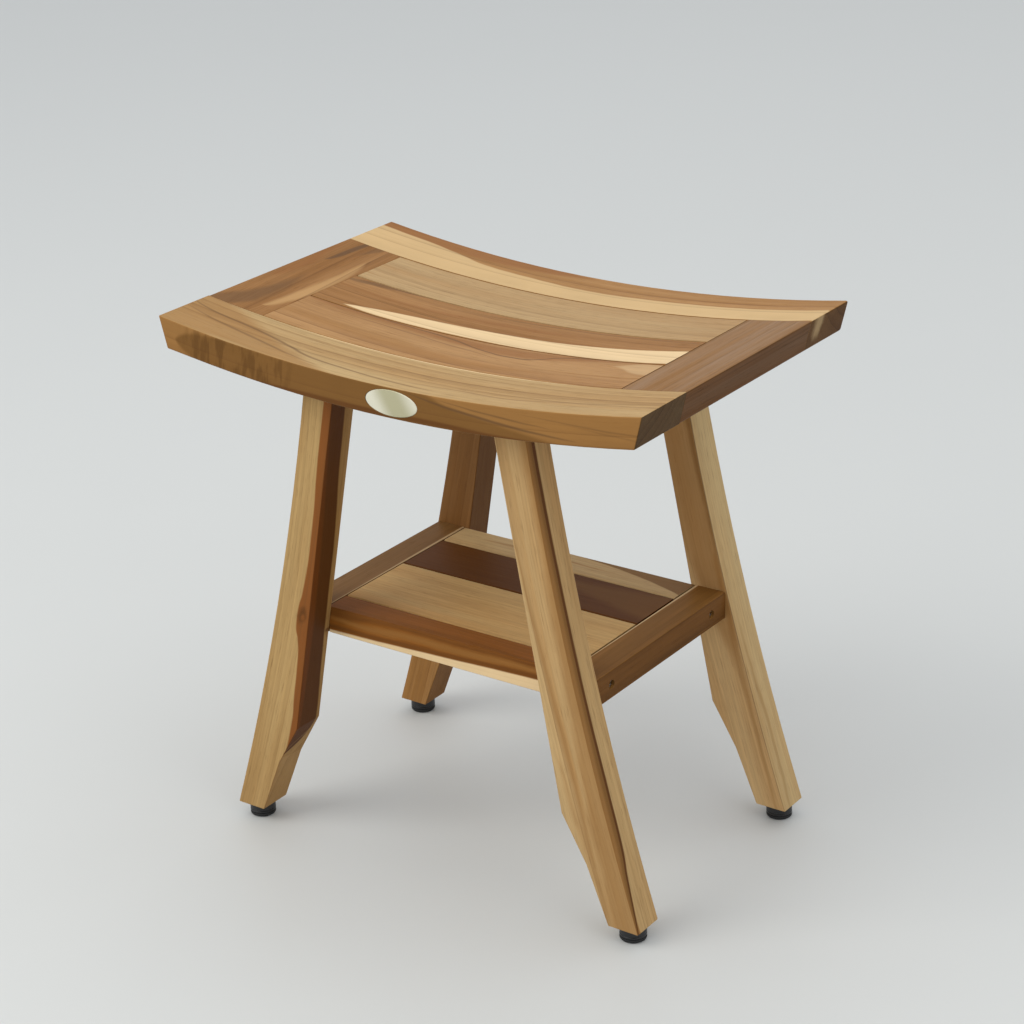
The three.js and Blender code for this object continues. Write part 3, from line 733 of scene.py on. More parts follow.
class SHOWER_STOOL_OT_seat_rails(Operator):
    """Eases and finishes the seat's front and back rails"""
    bl_idname = "shower_stool.seat_rails"
    bl_label = "Seat Rails"

    def execute(self, context):
        settings = context.scene.shower_stool
        shape = settings.shape
        outline = on_seat_outline(settings)
        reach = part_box("seat_front_rail")[1].x
        for name_y, side_y in SIDES_Y:
            node = f"seat_{name_y}_rail"
            low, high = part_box(node)
            outer_y = low.y if side_y < 0 else high.y
            inner_y = high.y if side_y < 0 else low.y

            def outside(a, b):
                end = a.x * b.x > 0 and min(abs(a.x), abs(b.x)) > reach - 0.012
                long = abs(a.y - outer_y) < 1e-5 and abs(b.y - outer_y) < 1e-5
                return outline(a, b) and (long or (end and abs(a.x - b.x) < 1e-4 and abs(a.y - b.y) > 0.01))

            def inside(a, b):
                return outline(a, b) and abs(a.y - inner_y) < 1e-5 and abs(b.y - inner_y) < 1e-5

            piece = copy_of_node(node)
            ease(piece, shape.outer_edge, outside, segments=4)
            ease(piece, shape.strip_edge, inside, segments=2)
            smooth(piece)
            piece.data.materials.append(self.front(settings) if side_y < 0 else self.back(settings))
            hand_in(piece, "stool", "teak_tan" if side_y < 0 else "teak_brown", node)
        return {"FINISHED"}

    def front(self, settings):
        wood = Timber("Front rail teak", settings).on_seat()
        wood.grow("straw", "honey", heart=(-185, -60), spacing=7.5, strength=0.45, wander=9,
                  tilt=(0.6, 1.2),
                  seed=3.1, tone=(0.82, 0.84, 0.82))
        front, top = (0, -1, 0), (0, 0, 1)
        wood.band([(-229, -122, 40), (-190, -126, 30), (-150, -134, 20), (-90, -148, 8), (-40, -156, -6)],
                  "brown", 0.6, 14, top, waver=10)
        wood.band([(-229, 12, 30), (0, 12, 30), (229, 12, 30)], "brown", 0.9, 6, front, "down", waver=0)
        wood.band([(-212, 14, -6), (-170, 14, 14), (-60, 13, 18), (20, 13, 16), (57, 18, 11), (88, 21, 8.5),
                   (128, 25, 5), (165, 28, -1)], "walnut", 0.9, 5, front, "down", waver=3)
        wood.curl(-212, -84, front, 0.6)
        wood.band([(-229, -108, 0.3), (-204, -113, 0.9), (-166, -116, 1.1), (-116, -126, 1.3),
                   (-89, -134, 1.3),
                   (-60, -137, 1.0), (-10, -141, 0.9), (40, -143, -1)], "umber", 0.6, 2.0, top, waver=2)
        wood.band([(-226, -119, -1), (-200, -124, 0.9), (-173, -128, 1.2), (-145, -132, 1.4),
                   (-108, -139, 0.8),
                   (-60, -147, -1)], "umber", 0.5, 2.4, top, waver=3)
        wood.band([(0, -140, -1), (49, -134, 0.7), (100, -136, 0.9), (144, -131, 0.6), (228, -124, 0.6)],
                  "umber", 0.4, 2.0, top)
        wood.band([(60, -137, -1), (110, -128, 0.5), (228, -113, 0.5)], "umber", 0.25, 2.0, top)
        # Pale line along the inner top edge, where the rail meets the front slat: a painted highlight on
        # the eased edge, in the sapwood colour.
        wood.band([(-130, -92, -0.5), (-90, -92, 1.0), (0, -92, 1.5), (100, -92, 1.0), (150, -92, -0.5)],
                  "sapwood", 0.8, 1.0, top, waver=0.5)
        # Dark line along the bottom of the front face: a painted shadow along the rail's lower edge, in the
        # chocolate colour.
        wood.band([(-130, 26, -1), (-82, 23, 1.6), (-31, 22.5, 2.2), (30, 21.8, 2.0), (95, 24.5, 1.6),
                   (134, 25, -1)],
                  "chocolate", 0.85, 2.5, front, "down", waver=1.5)
        wood.band([(14, 0.5, -1), (57, 7.5, 0.9), (88, 11.8, 1.1), (128, 17, 0.9), (175, 22, -1)],
                  "umber", 0.75, 2.0, front, "down", waver=2)
        wood.band([(40, 1.5, -1), (80, 6.2, 0.6), (113, 9.6, 0.7), (150, 14, -1)], "umber", 0.55, 1.6,
                  front, "down")
        wood.band([(110, 3, -1), (160, 8, 0.4), (229, 15, 0.5)], "umber", 0.4, 1.6, front, "down")
        wood.band([(150, 8, -1), (190, 13, 0.4), (229, 20, 0.5)], "umber", 0.3, 1.8, front, "down")
        # The right end is taken darker: darker end timber, and painted shade on the side turned from the
        # key lamp.
        wood.face_tone_and_shade((1, 0, 0), 0.33, 0.28, 0.22)
        return wood.finish()

    def back(self, settings):
        wood = Timber("Back rail teak", settings).on_seat()
        wood.grow("tan", "brown", heart=(190, -70), spacing=7.0, strength=0.5, wander=9, seed=7.7)
        top = (0, 0, 1)
        wood.band([(-229, 150, 16), (-150, 148, 14), (-70, 146, 9), (0, 146, -2)], "russet", 0.6, 8, top,
                  waver=6)
        wood.band([(-228, 110, 29), (-200, 110, 28.5), (-146, 106, 27), (-111, 104, 21), (-43, 104, 17),
                   (10, 104, 14),
                   (70, 104, 16), (228, 108, 14)], "straw", 0.95, 2.5, top, waver=4)
        # The right end is taken darker: darker timber, and painted shade on the side turned from the key
        # lamp.
        wood.face_tone_and_shade((1, 0, 0), 0.47, 0.4, 0.28)
        wood.knot(227, 106, 5, 10, 2.0, "straw", 0.85)
        return wood.finish()


class SHOWER_STOOL_OT_seat_end_rails(Operator):
    """Eases and finishes the two end rails of the seat"""
    bl_idname = "shower_stool.seat_end_rails"
    bl_label = "Seat End Rails"

    def execute(self, context):
        settings = context.scene.shower_stool
        shape = settings.shape
        outline = on_seat_outline(settings)
        for name_x, side_x in SIDES_X:
            node = f"seat_{name_x}_end_rail"
            low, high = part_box(node)
            reach = high.x if side_x > 0 else -low.x

            def across(a, b):
                return outline(a, b) and abs(a.x - b.x) < 1e-5 and abs(a.y - b.y) > 0.05

            def outside(a, b):
                return across(a, b) and side_x * a.x > reach - 0.012

            def inside(a, b):
                return across(a, b) and side_x * a.x < reach - 0.03

            piece = copy_of_node(node)
            ease(piece, shape.outer_edge, outside, segments=4)
            ease(piece, shape.strip_edge, inside, segments=2)
            smooth(piece)
            piece.data.materials.append(self.left(settings) if side_x < 0 else self.right(settings))
            hand_in(piece, "stool", "teak_brown" if side_x < 0 else "teak_dark", node)
        return {"FINISHED"}

    def left(self, settings):
        wood = Timber("Left end rail teak", settings).on_seat(cross=True)
        wood.grow("tan", "brown", heart=(-150, -50), spacing=9, strength=0.5, wander=16, tilt=(1.0, 3.0),
                  seed=12.3,
                  tone=(0.76, 0.69, 0.62))
        top = (0, 0, 1)
        wood.band([(-95, -222, 6), (-82, -214, 13), (-60, -206, 9), (-30, -202, 5), (10, -205, -3)],
                  "umber", 0.6, 10, top, waver=12)
        wood.band([(-75, -186, -1), (-60, -182, 4), (-24, -178, 6), (13, -179, 5), (60, -184, -1)],
                  "honey", 0.7, 6, top, waver=5)
        wood.band([(-20, -222, -1), (20, -220, 5), (60, -224, 3), (96, -222, -1)], "russet", 0.4, 8, top,
                  waver=8)
        wood.band([(38, -214, -1), (50, -211, 2.2), (66, -210, 3.2), (98, -208, 2.5)], "umber", 0.85, 3,
                  top, waver=6)
        wood.band([(60, -200, -1), (80, -196, 3), (98, -190, 6)], "umber", 0.5, 5, top, waver=8)
        return wood.finish()

    def right(self, settings):
        wood = Timber("Right end rail teak", settings).on_seat(cross=True)
        wood.grow("grey_brown", "brown", heart=(150, -90), spacing=2.6, strength=0.4, wander=3,
                  tilt=(0.3, 0.6),
                  seed=21.9, line="umber", tone=(0.84, 0.84, 0.84))
        # The outer face is taken darker: darker timber, and painted shade on the side turned from the key
        # lamp.
        wood.face_tone_and_shade((1, 0, 0), 0.46, 0.38, 0.3)
        return wood.finish()


class SHOWER_STOOL_OT_seat_slats(Operator):
    """Eases and finishes the three slats of the seat"""
    bl_idname = "shower_stool.seat_slats"
    bl_label = "Seat Slats"

    def execute(self, context):
        settings = context.scene.shower_stool
        outline = on_seat_outline(settings)
        looks = {"front": self.front, "middle": self.middle, "back": self.back}
        for name in SLATS:
            node = f"seat_slat_{name}"
            low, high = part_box(node)

            def lengthwise(a, b):
                side = [p.y for p in (a, b)]
                along = max(side) - min(side) < 1e-5 and min(abs(side[0] - low.y),
                                                             abs(side[0] - high.y)) < 1e-5
                return outline(a, b) and along and abs(a.x - b.x) > 0.002

            piece = copy_of_node(node)
            ease(piece, settings.shape.strip_edge, lengthwise, segments=2)
            smooth(piece)
            piece.data.materials.append(looks[name](settings))
            hand_in(piece, "stool", "teak_tan" if name == "back" else "teak_brown", node)
        return {"FINISHED"}

    def front(self, settings):
        wood = Timber("Front slat teak", settings).on_seat()
        wood.grow("honey", "tan", heart=(-52, -38), spacing=8, strength=0.5, wander=14, tilt=(0.8, 1.5),
                  seed=31.0,
                  tone=(0.87, 0.83, 0.82))
        top = (0, 0, 1)
        wood.band([(-172, -30, 2), (-130, -34, 4), (-92, -34, 4), (-49, -37, 5), (0, -40, 6), (33, -43, 8),
                   (68, -41, 7), (100, -36, 5), (150, -32, -1)], "russet", 0.45, 7, top, waver=6)
        wood.band([(-173, -31, 0.4), (-92, -33, 0.8), (-49, -35, 0.9), (-19, -39, 0.9), (20, -49, 0.8),
                   (50, -52, 1.0),
                   (68, -47, 1.0), (80, -39, 0.9), (106, -33, 0.8), (150, -31, -0.5)], "umber", 0.7, 1.8,
                   top, waver=4)
        wood.band([(-150, -43, -1), (-90, -44, 0.6), (-20, -50, 0.8), (40, -60, -1)], "umber", 0.45, 1.8,
                  top, waver=5)
        wood.band([(-172, -66, 4), (-60, -68, 7), (0, -78, 6), (110, -74, -2)], "brown", 0.4, 8, top,
                  waver=8)
        wood.band([(128, -46, -3), (143, -42, 4), (158, -44, 11), (172, -45, 12)], "sapwood", 0.3, 5, top,
                  waver=3)
        wood.band([(60, -66, -1), (120, -68, 1.0), (172, -66, 1.4)], "brown", 0.6, 2.5, top, waver=3)
        return wood.finish()

    def middle(self, settings):
        wood = Timber("Middle slat teak", settings).on_seat()
        wood.grow("tan", "brown", heart=(40, -55), spacing=6.5, strength=0.5, wander=9, tilt=(0.5, 0.8),
                  seed=44.4,
                  tone=(0.86, 0.81, 0.78))
        top = (0, 0, 1)
        wood.band([(-180, 22, -1), (-170, 22, 2.5), (-150, 25, 3.5), (-120, 28, 2), (-40, 30, -1)],
                  "umber", 0.6, 3.5, top, waver=4)
        wood.band([(-172, 8, 1), (-100, 6, 2), (-20, 9, 3), (60, 12, 1), (110, 14, -1)], "russet", 0.35, 5,
                  top, waver=6)
        wood.band([(-60, 22, -1), (0, 24, 0.7), (90, 26, 0.9), (172, 22, 0.6)], "umber", 0.45, 2, top,
                  waver=4)
        wood.band([(-147, -27, -2.5), (-124, -25, 3.5), (-90, -22, 7.5), (-20, -19, 10), (70, -18, 12),
                   (171, -12, 16)], "sapwood", 0.97, 1.6, top, waver=2)
        return wood.finish()

    def back(self, settings):
        wood = Timber("Back slat teak", settings).on_seat()
        wood.grow("straw", "honey", heart=(88, -75), spacing=6, strength=0.45, wander=8, tilt=(0.4, 0.6),
                  seed=52.6,
                  tone=(0.74, 0.72, 0.71))
        wood.band([(-172, 44, 3), (-120, 42, -2), (0, 38, -2)], "brown", 0.5, 6, (0, 0, 1), waver=6)
        return wood.finish()


class SHOWER_STOOL_OT_badge(Operator):
    """Models the blank oval badge in the front rail"""
    bl_idname = "shower_stool.badge"
    bl_label = "Badge"

    def execute(self, context):
        low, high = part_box("badge")
        centre, size = (low + high) / 2, high - low
        bpy.ops.object.select_all(action="DESELECT")
        bpy.ops.mesh.primitive_circle_add(
            vertices=72, radius=0.5, location=(centre.x, high.y, centre.z),
            rotation=(math.radians(90), 0.0, 0.0), fill_type="NGON",
        )
        badge = context.object
        badge.name = badge.data.name = "badge.blank"
        badge.scale = (size.x, size.z, 1.0)
        bpy.ops.object.transform_apply(location=True, rotation=True, scale=True)
        bpy.ops.object.mode_set(mode="EDIT")
        bpy.ops.mesh.select_all(action="SELECT")
        bpy.ops.mesh.extrude_region_move(TRANSFORM_OT_translate={"value": (0.0, low.y - high.y + 0.3 * MM,
                                                                           0.0)})
        for shrink, rise in ((0.985, 0.25), (0.965, 0.18), (0.7, 0.22), (0.35, 0.1)):
            bpy.ops.mesh.extrude_region_move(TRANSFORM_OT_translate={"value": (0.0, -rise * MM, 0.0)})
            bpy.ops.transform.resize(value=(shrink, 1.0, shrink), center_override=centre)
        bpy.ops.mesh.select_all(action="SELECT")
        bpy.ops.mesh.normals_make_consistent(inside=False)
        bpy.ops.object.mode_set(mode="OBJECT")
        smooth(badge)
        badge.data.materials.append(self.enamel(centre, size))
        hand_in(badge, "stool", "badge_enamel", "badge")
        return {"FINISHED"}

    def enamel(self, centre, size):
        """Satin plate, cream at its left and rim, greener toward its middle."""
        material = bpy.data.materials.new("Satin badge")
        material.use_nodes = True
        material.node_tree.nodes.clear()
        bench = Bench(material.node_tree)
        place = bench.node("ShaderNodeTexCoord").outputs["Object"]
        place = bench.vector("SUBTRACT", place, centre)
        x, _, z = bench.split(place)[:3]
        share = bench.math("DIVIDE", x, size.x / 2)
        share = bench.math("MULTIPLY_ADD", bench.math("DIVIDE", z, size.z / 2), 0.25, share)
        green = bench.math("MULTIPLY", bench.step(share, -0.75, -0.05), bench.step(share, 1.1, 0.3))
        brushed = bench.noise(bench.vector("MULTIPLY", place, (260.0, 900.0, 1900.0)), 3.0, 0.6)[0]
        colour = bench.mix(green, tint(226, 221, 200), tint(184, 178, 144))
        tone = bench.math("MULTIPLY_ADD", brushed, 0.1, 0.95)
        colour = bench.mix(1.0, colour, bench.combine(tone, tone, tone), "MULTIPLY")
        rough = bench.math("MULTIPLY_ADD", brushed, 0.18, 0.3)
        normal = bench.node("ShaderNodeBump", {"Height": brushed, "Strength": 0.12,
                                               "Distance": 0.0001}).outputs[0]
        shader = bench.node("ShaderNodeBsdfPrincipled", {
            "Base Color": colour, "Roughness": rough, "Metallic": 0.35, "Normal": normal,
        })
        bench.node("ShaderNodeOutputMaterial", {0: shader.outputs[0]})
        return material


class SHOWER_STOOL_OT_bearers(Operator):
    """Eases and finishes the two bearers under the seat"""
    bl_idname = "shower_stool.bearers"
    bl_label = "Seat Bearers"

    def execute(self, context):
        settings = context.scene.shower_stool
        for name_x, side_x in SIDES_X:
            node = f"seat_bearer_{name_x}"
            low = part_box(node)[0]

            def lower(a, b):
                return max(a.z, b.z) < low.z + 1e-4 and abs(a.y - b.y) > 0.1

            piece = copy_of_node(node)
            ease(piece, 1.5 * MM, lower)
            smooth(piece)
            wood = Timber(f"{name_x.title()} bearer teak", settings).on_bearer()
            wood.grow("tan", "brown", heart=(side_x * 60, 380), spacing=6, strength=0.5, seed=60.0 + side_x)
            piece.data.materials.append(wood.finish())
            hand_in(piece, "stool", "teak_brown", node)
        return {"FINISHED"}


class SHOWER_STOOL_OT_slat_screws(Operator):
    """Models the screws that hold the slats to the bearers"""
    bl_idname = "shower_stool.slat_screws"
    bl_label = "Slat Screws"

    def execute(self, context):
        settings = context.scene.shower_stool
        fixings = settings.fixings
        low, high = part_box("slat_screw_front_left")
        length, head = high.z - low.z, (high.x - low.x) / 2
        steel = bpy.data.materials.get("Screw steel") or plain_material(
            "Screw steel", tint(186, 187, 188), 0.34, 1.0, 900.0, 0.08)
        shank = head / 2
        rows = [(shank, 3.6 * MM + i * fixings.screw_pitch / 6) for i in range(90)]
        rows = [(r, z) for r, z in rows if z < length - 6 * MM]
        tip = [(shank * k, rows[-1][1] + (length - rows[-1][1]) * t)
               for k, t in ((0.92, 0.25), (0.7, 0.55), (0.42, 0.8), (0.12, 1.0))]
        profile = [(head * 0.92, 0.0), (head, 0.25 * MM), (head, 0.9 * MM), (head * 0.72, 2.1 * MM),
                   (shank, 3.0 * MM), *rows, *tip]
        screw = turned("slat_screw.pattern", profile, 24)
        cut_thread(screw, shank, fixings.screw_pitch, 0.5 * MM, 5.5 * MM, length - 2 * MM)
        recess(screw, fixings.drive_width, 1.6 * MM, 4)
        smooth(screw, 40)
        screw.data.materials.append(steel)
        for place in SLATS:
            for name_x, _ in SIDES_X:
                node = f"slat_screw_{place}_{name_x}"
                low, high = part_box(node)
                at = Vector(((low.x + high.x) / 2, (low.y + high.y) / 2, low.z))
                copy = copy_to(screw, node + ".threaded", Matrix.Translation(at))
                hand_in(copy, "stool", "stainless_steel", node)
        bpy.data.objects.remove(screw)
        return {"FINISHED"}


def cut_thread(piece, radius, pitch, depth, start, end):
    """Presses a thread into the shank between two heights: a groove that climbs one pitch a turn."""
    for vertex in piece.data.vertices:
        out = math.hypot(vertex.co.x, vertex.co.y)
        if abs(out - radius) > 1e-6 or not start <= vertex.co.z <= end:
            continue
        turn = math.atan2(vertex.co.y, vertex.co.x) / (2 * math.pi)
        phase = (vertex.co.z / pitch - turn) % 1.0
        fade = min(1.0, (vertex.co.z - start) / pitch, (end - vertex.co.z) / pitch)
        groove = (1 - abs(2 * phase - 1)) * depth * max(0.0, fade)
        vertex.co.x *= (out - groove) / out
        vertex.co.y *= (out - groove) / out


def recess(piece, width, depth, sides):
    """Sinks a drive recess with this many sides into the flat face at the foot of a turned piece."""
    take_up(piece)
    bottom = min(v.co.z for v in piece.data.vertices)
    bpy.ops.mesh.primitive_cylinder_add(
        vertices=sides, radius=width / 2 / math.cos(math.pi / sides), depth=depth * 2,
        location=(0.0, 0.0, bottom), rotation=(0.0, 0.0, math.pi / sides),
    )
    tool = bpy.context.object
    take_up(piece)
    cut = piece.modifiers.new("Drive recess", "BOOLEAN")
    cut.object = tool
    cut.operation = "DIFFERENCE"
    cut.solver = "EXACT"
    bpy.ops.object.modifier_apply(modifier=cut.name)
    bpy.data.objects.remove(tool)


class SHOWER_STOOL_OT_legs(Operator):
    """Eases and finishes the four sabre legs"""
    bl_idname = "shower_stool.legs"
    bl_label = "Legs"

    def execute(self, context):
        settings = context.scene.shower_stool
        looks = {"front_left": self.front_left, "front_right": self.front_right,
                 "back_left": self.back_left, "back_right": self.back_right}
        slots = {"back_left": "teak_brown"}
        for name_y, side_y in SIDES_Y:
            for name_x, side_x in SIDES_X:
                place = f"{name_y}_{name_x}"
                node = f"leg_{place}"
                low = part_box(node)[0]

                def long_edge(a, b):
                    upright = abs(a.z - b.z) > 0.016
                    foot = max(a.z, b.z) < low.z + 1e-4
                    knee = abs(a.y - b.y) > 0.02 and min(a.z, b.z) < low.z + 0.1
                    return (a - b).length > 0.016 and (upright or foot or knee)

                piece = copy_of_node(node)
                ease(piece, settings.shape.leg_edge, long_edge, segments=4)
                smooth(piece, 28)
                wood = Timber(f"Leg teak {name_y} {name_x}", settings).on_leg(side_x, side_y)
                piece.data.materials.append(looks[place](wood))
                hand_in(piece, "stool", slots.get(place, "teak_tan"), node)
        return {"FINISHED"}

    def front_left(self, wood):
        front, inner = (0, -1, 0), (1, 0, 0)
        wood.grow("honey", "tan", heart=(-60, 40), spacing=5, strength=0.4, wander=6, seed=71.0,
                  tone=(0.95, 1.06, 1.08))
        wood.band([(64, 57, -4), (70, 57, 19.5), (99, 57, 20), (129, 54, 20), (168, 50.5, 20),
                   (187, 46.5, 20),
                   (203, 42.5, 20), (213, 42.3, 20), (228, 44, 20), (261, 45, 20), (299, 44, 20),
                   (356, 41.5, 20),
                   (418, 42.5, 20)], "russet", 0.97, 1.6, front, waver=2, veined=0.6)
        wood.band([(74, 66, -2), (100, 66, 20), (168, 62, 20), (205, 57, 20), (261, 59, 20), (356, 56, 20),
                   (418, 57, 20)],
                  "chocolate", 0.35, 7, front, waver=6)
        wood.band([(64, -2, -3), (72, -2, 1), (98, -2, 27), (159, -2, 26), (211, -2, 25.5), (270, -2, 25.5),
                   (348, -2, 21), (418, -2, 20.5)], "chocolate", 0.97, 2.0, inner, "down", waver=2,
                   veined=0.6)
        wood.band([(90, 0, 1), (130, 0, 5), (200, 0, 7.5), (261, 0, 7), (330, 0, 4), (418, 0, -1)],
                  "russet", 0.6, 3.5, inner, "down", waver=3)
        wood.band([(13, -2, 40), (60, -2, 40), (72, -2, 1), (98, 31, 2), (200, 31, 2.5), (300, 31, 4),
                   (418, 31, 7)],
                  "straw", 0.35, 2.5, inner, "down", waver=2)
        # The inner face is taken darker: dark heartwood, and painted shade on the side turned from the key
        # lamp.
        wood.face_tone_and_shade(inner, 0.74, 0.66, 0.56)
        wood.knot(209, 27, 0, 7, 1.6, "chocolate", 0.85)
        wood.knot(207, 28, 0, 3.2, 1.3, "russet", 0.8)
        # A small near-black dot on the inner face, drawn with the knot mark.
        wood.knot(186, 36, 27, 2.2, 1.2, "growth_line", 0.95)
        return wood.finish()

    def front_right(self, wood):
        front, outer = (0, -1, 0), (1, 0, 0)
        wood.grow("straw", "honey", heart=(-55, 60), spacing=5, strength=0.45, wander=6, seed=82.0,
                  tone=(0.9, 0.91, 0.9))
        wood.band([(13, 6, 15), (70, 6, 13), (130, 3, 12), (200, 1, 9), (280, 0, 6.5), (418, 0, 6.5)],
                  "brown", 0.65, 10, front, waver=8)
        wood.band([(60, 24, -1), (150, 22, 2.5), (220, 24, 1.8), (290, 27, 1.2), (340, 30, -1)], "brown",
                  0.5, 5, front,
                  waver=6)
        wood.band([(13, 26, -1), (50, 26, 4), (110, 30, 3), (160, 34, -1)], "brown", 0.35, 6, front,
                  waver=8)
        wood.band([(13, 2, 3), (29, 1, 2.5), (60, 1.5, 6), (90, 1.5, 9), (160, 1.5, 9.6), (292, 1.5, 9.4),
                   (393, 1.5, 8), (418, 1.5, 8)], "brown", 0.9, 2.0, outer, "down", waver=1)
        wood.band([(13, 0.5, 1), (29, 2, 1.5), (60, 5, 2.5), (90, 8, 3.2), (160, 8.4, 3.4), (292, 8.4, 3.4),
                   (393, 7, 3.4), (418, 7, 3.2)], "walnut", 0.75, 4.5, outer, "down", waver=1)
        wood.band([(13, 1, 0.6), (29, 3.2, 0.9), (60, 6.9, 1.2), (90, 10.5, 1.4), (124, 11.0, 1.5),
                   (193, 10.4, 1.5),
                   (292, 10.2, 1.6), (362, 9.2, 1.8), (418, 8.4, 1.9)], "chocolate", 1.0, 1.2, outer,
                   "down", waver=1)
        # Painted shade: the outer face taken a little darker, on the side turned from the key lamp.
        wood.face_tone_and_shade(outer, 0.9, 0.88, 0.84)
        return wood.finish()

    def back_left(self, wood):
        wood.grow("tan", "brown", heart=(-50, 50), spacing=5, strength=0.5, wander=6, seed=93.0)
        wood.band([(140, 22, -10), (230, 22, 30), (320, 22, 40), (418, 22, 44)], "chocolate", 0.55, 20,
                  waver=16)
        # Painted shade: the faces looking right taken darker, on the side turned from the key lamp.
        wood.face_tone_and_shade((1, 0, 0), 0.56, 0.5, 0.4)
        return wood.finish()

    def back_right(self, wood):
        front, outer = (0, -1, 0), (1, 0, 0)
        wood.grow("straw", "honey", heart=(70, -60), spacing=6, strength=0.5, wander=8, seed=104.0)
        wood.band([(120, 10, -6), (220, 10, 20), (300, 10, 34), (418, 10, 44)], "brown", 0.6, 12, front,
                  waver=10)
        wood.band([(220, 1, -1), (300, 1, 3), (418, 2, 5)], "walnut", 0.6, 5, front, waver=6)
        wood.band([(13, 8, 1), (90, 6, 2), (160, 5, 3), (240, 3, -1)], "brown", 0.5, 4, front, waver=6)
        wood.band([(13, 31, 1.2), (100, 30.5, 1.2), (418, 30.5, 1.4)], "umber", 0.85, 1.4, outer, "down",
                  waver=1)
        wood.band([(13, 20, 1), (80, 18, 2), (150, 22, 1), (220, 24, -1)], "brown", 0.4, 3, outer, "down",
                  waver=8)
        # Painted shade: the outer face taken darker, on the side turned from the key lamp.
        wood.face_tone_and_shade(outer, 0.84, 0.89, 0.91)
        return wood.finish()


class SHOWER_STOOL_OT_leg_dowels(Operator):
    """Finishes the dowels between the legs and the seat"""
    bl_idname = "shower_stool.leg_dowels"
    bl_label = "Leg Dowels"

    def execute(self, context):
        settings = context.scene.shower_stool
        low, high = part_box("leg_dowel_front_left")
        radius, length = (high.x - low.x) / 2, high.z - low.z
        chamfer = 1.0 * MM
        profile = [(radius - chamfer, 0.0), (radius, chamfer), (radius, length - chamfer),
                   (radius - chamfer, length)]
        dowel = turned("leg_dowel.pattern", profile, settings.fixings.round_steps)
        for vertex in dowel.data.vertices:
            turn = math.atan2(vertex.co.y, vertex.co.x) / (2 * math.pi)
            flute = 1.0 - 0.035 * (round(turn * settings.fixings.round_steps) % 4 == 0)
            vertex.co.x *= flute
            vertex.co.y *= flute
        smooth(dowel)
        wood = Timber("Dowel teak", settings).on_leg(1, 1)
        wood.grow("sapwood", "honey", heart=(0, 60), spacing=4, strength=0.4, seed=5.0)
        dowel.data.materials.append(wood.finish())
        for name_y, _ in SIDES_Y:
            for name_x, _ in SIDES_X:
                node = f"leg_dowel_{name_y}_{name_x}"
                low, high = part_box(node)
                at = Vector(((low.x + high.x) / 2, (low.y + high.y) / 2, low.z))
                hand_in(copy_to(dowel, node + ".fluted", Matrix.Translation(at)), "stool", "teak_pale",
                        node)
        bpy.data.objects.remove(dowel)
        return {"FINISHED"}


class SHOWER_STOOL_OT_shelf_end_rails(Operator):
    """Eases and finishes the shelf's two end rails"""
    bl_idname = "shower_stool.shelf_end_rails"
    bl_label = "Shelf End Rails"

    def execute(self, context):
        settings = context.scene.shower_stool
        for name_x, side_x in SIDES_X:
            node = f"shelf_{name_x}_end_rail"
            low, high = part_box(node)
            piece = copy_of_node(node)
            ease(piece, settings.shape.shelf_edge, bar_edges(low, high, "y", "x"))
            smooth(piece)
            wood = Timber(f"Shelf {name_x} end rail teak", settings).on_shelf(cross=True)
            wood.grow("tan" if side_x < 0 else "brown", "brown" if side_x < 0 else "walnut",
                      heart=(side_x * 90, -40), spacing=5, strength=0.5, seed=113.0 + side_x,
                      tone=(0.58, 0.59, 0.6) if side_x < 0 else (0.98, 0.98, 0.9))
            # Painted shade: the faces looking right taken darker, on the side turned from the key lamp.
            wood.face_tone_and_shade((1, 0, 0), 0.54, 0.47, 0.4)
            # Pale strip along each rail's inner top edge: partly sapwood, partly a painted highlight on the
            # eased edge.
            inner = (high.x if side_x < 0 else low.x) / MM
            wood.band([(-90, inner, 1.0), (0, inner, 1.8), (90, inner, 2.6)],
                      "sapwood", 0.5 if side_x < 0 else 0.8, 1.2, (0, 0, 1), waver=0.8)
            piece.data.materials.append(wood.finish())
            hand_in(piece, "stool", "teak_brown" if side_x < 0 else "teak_dark", node)
        return {"FINISHED"}


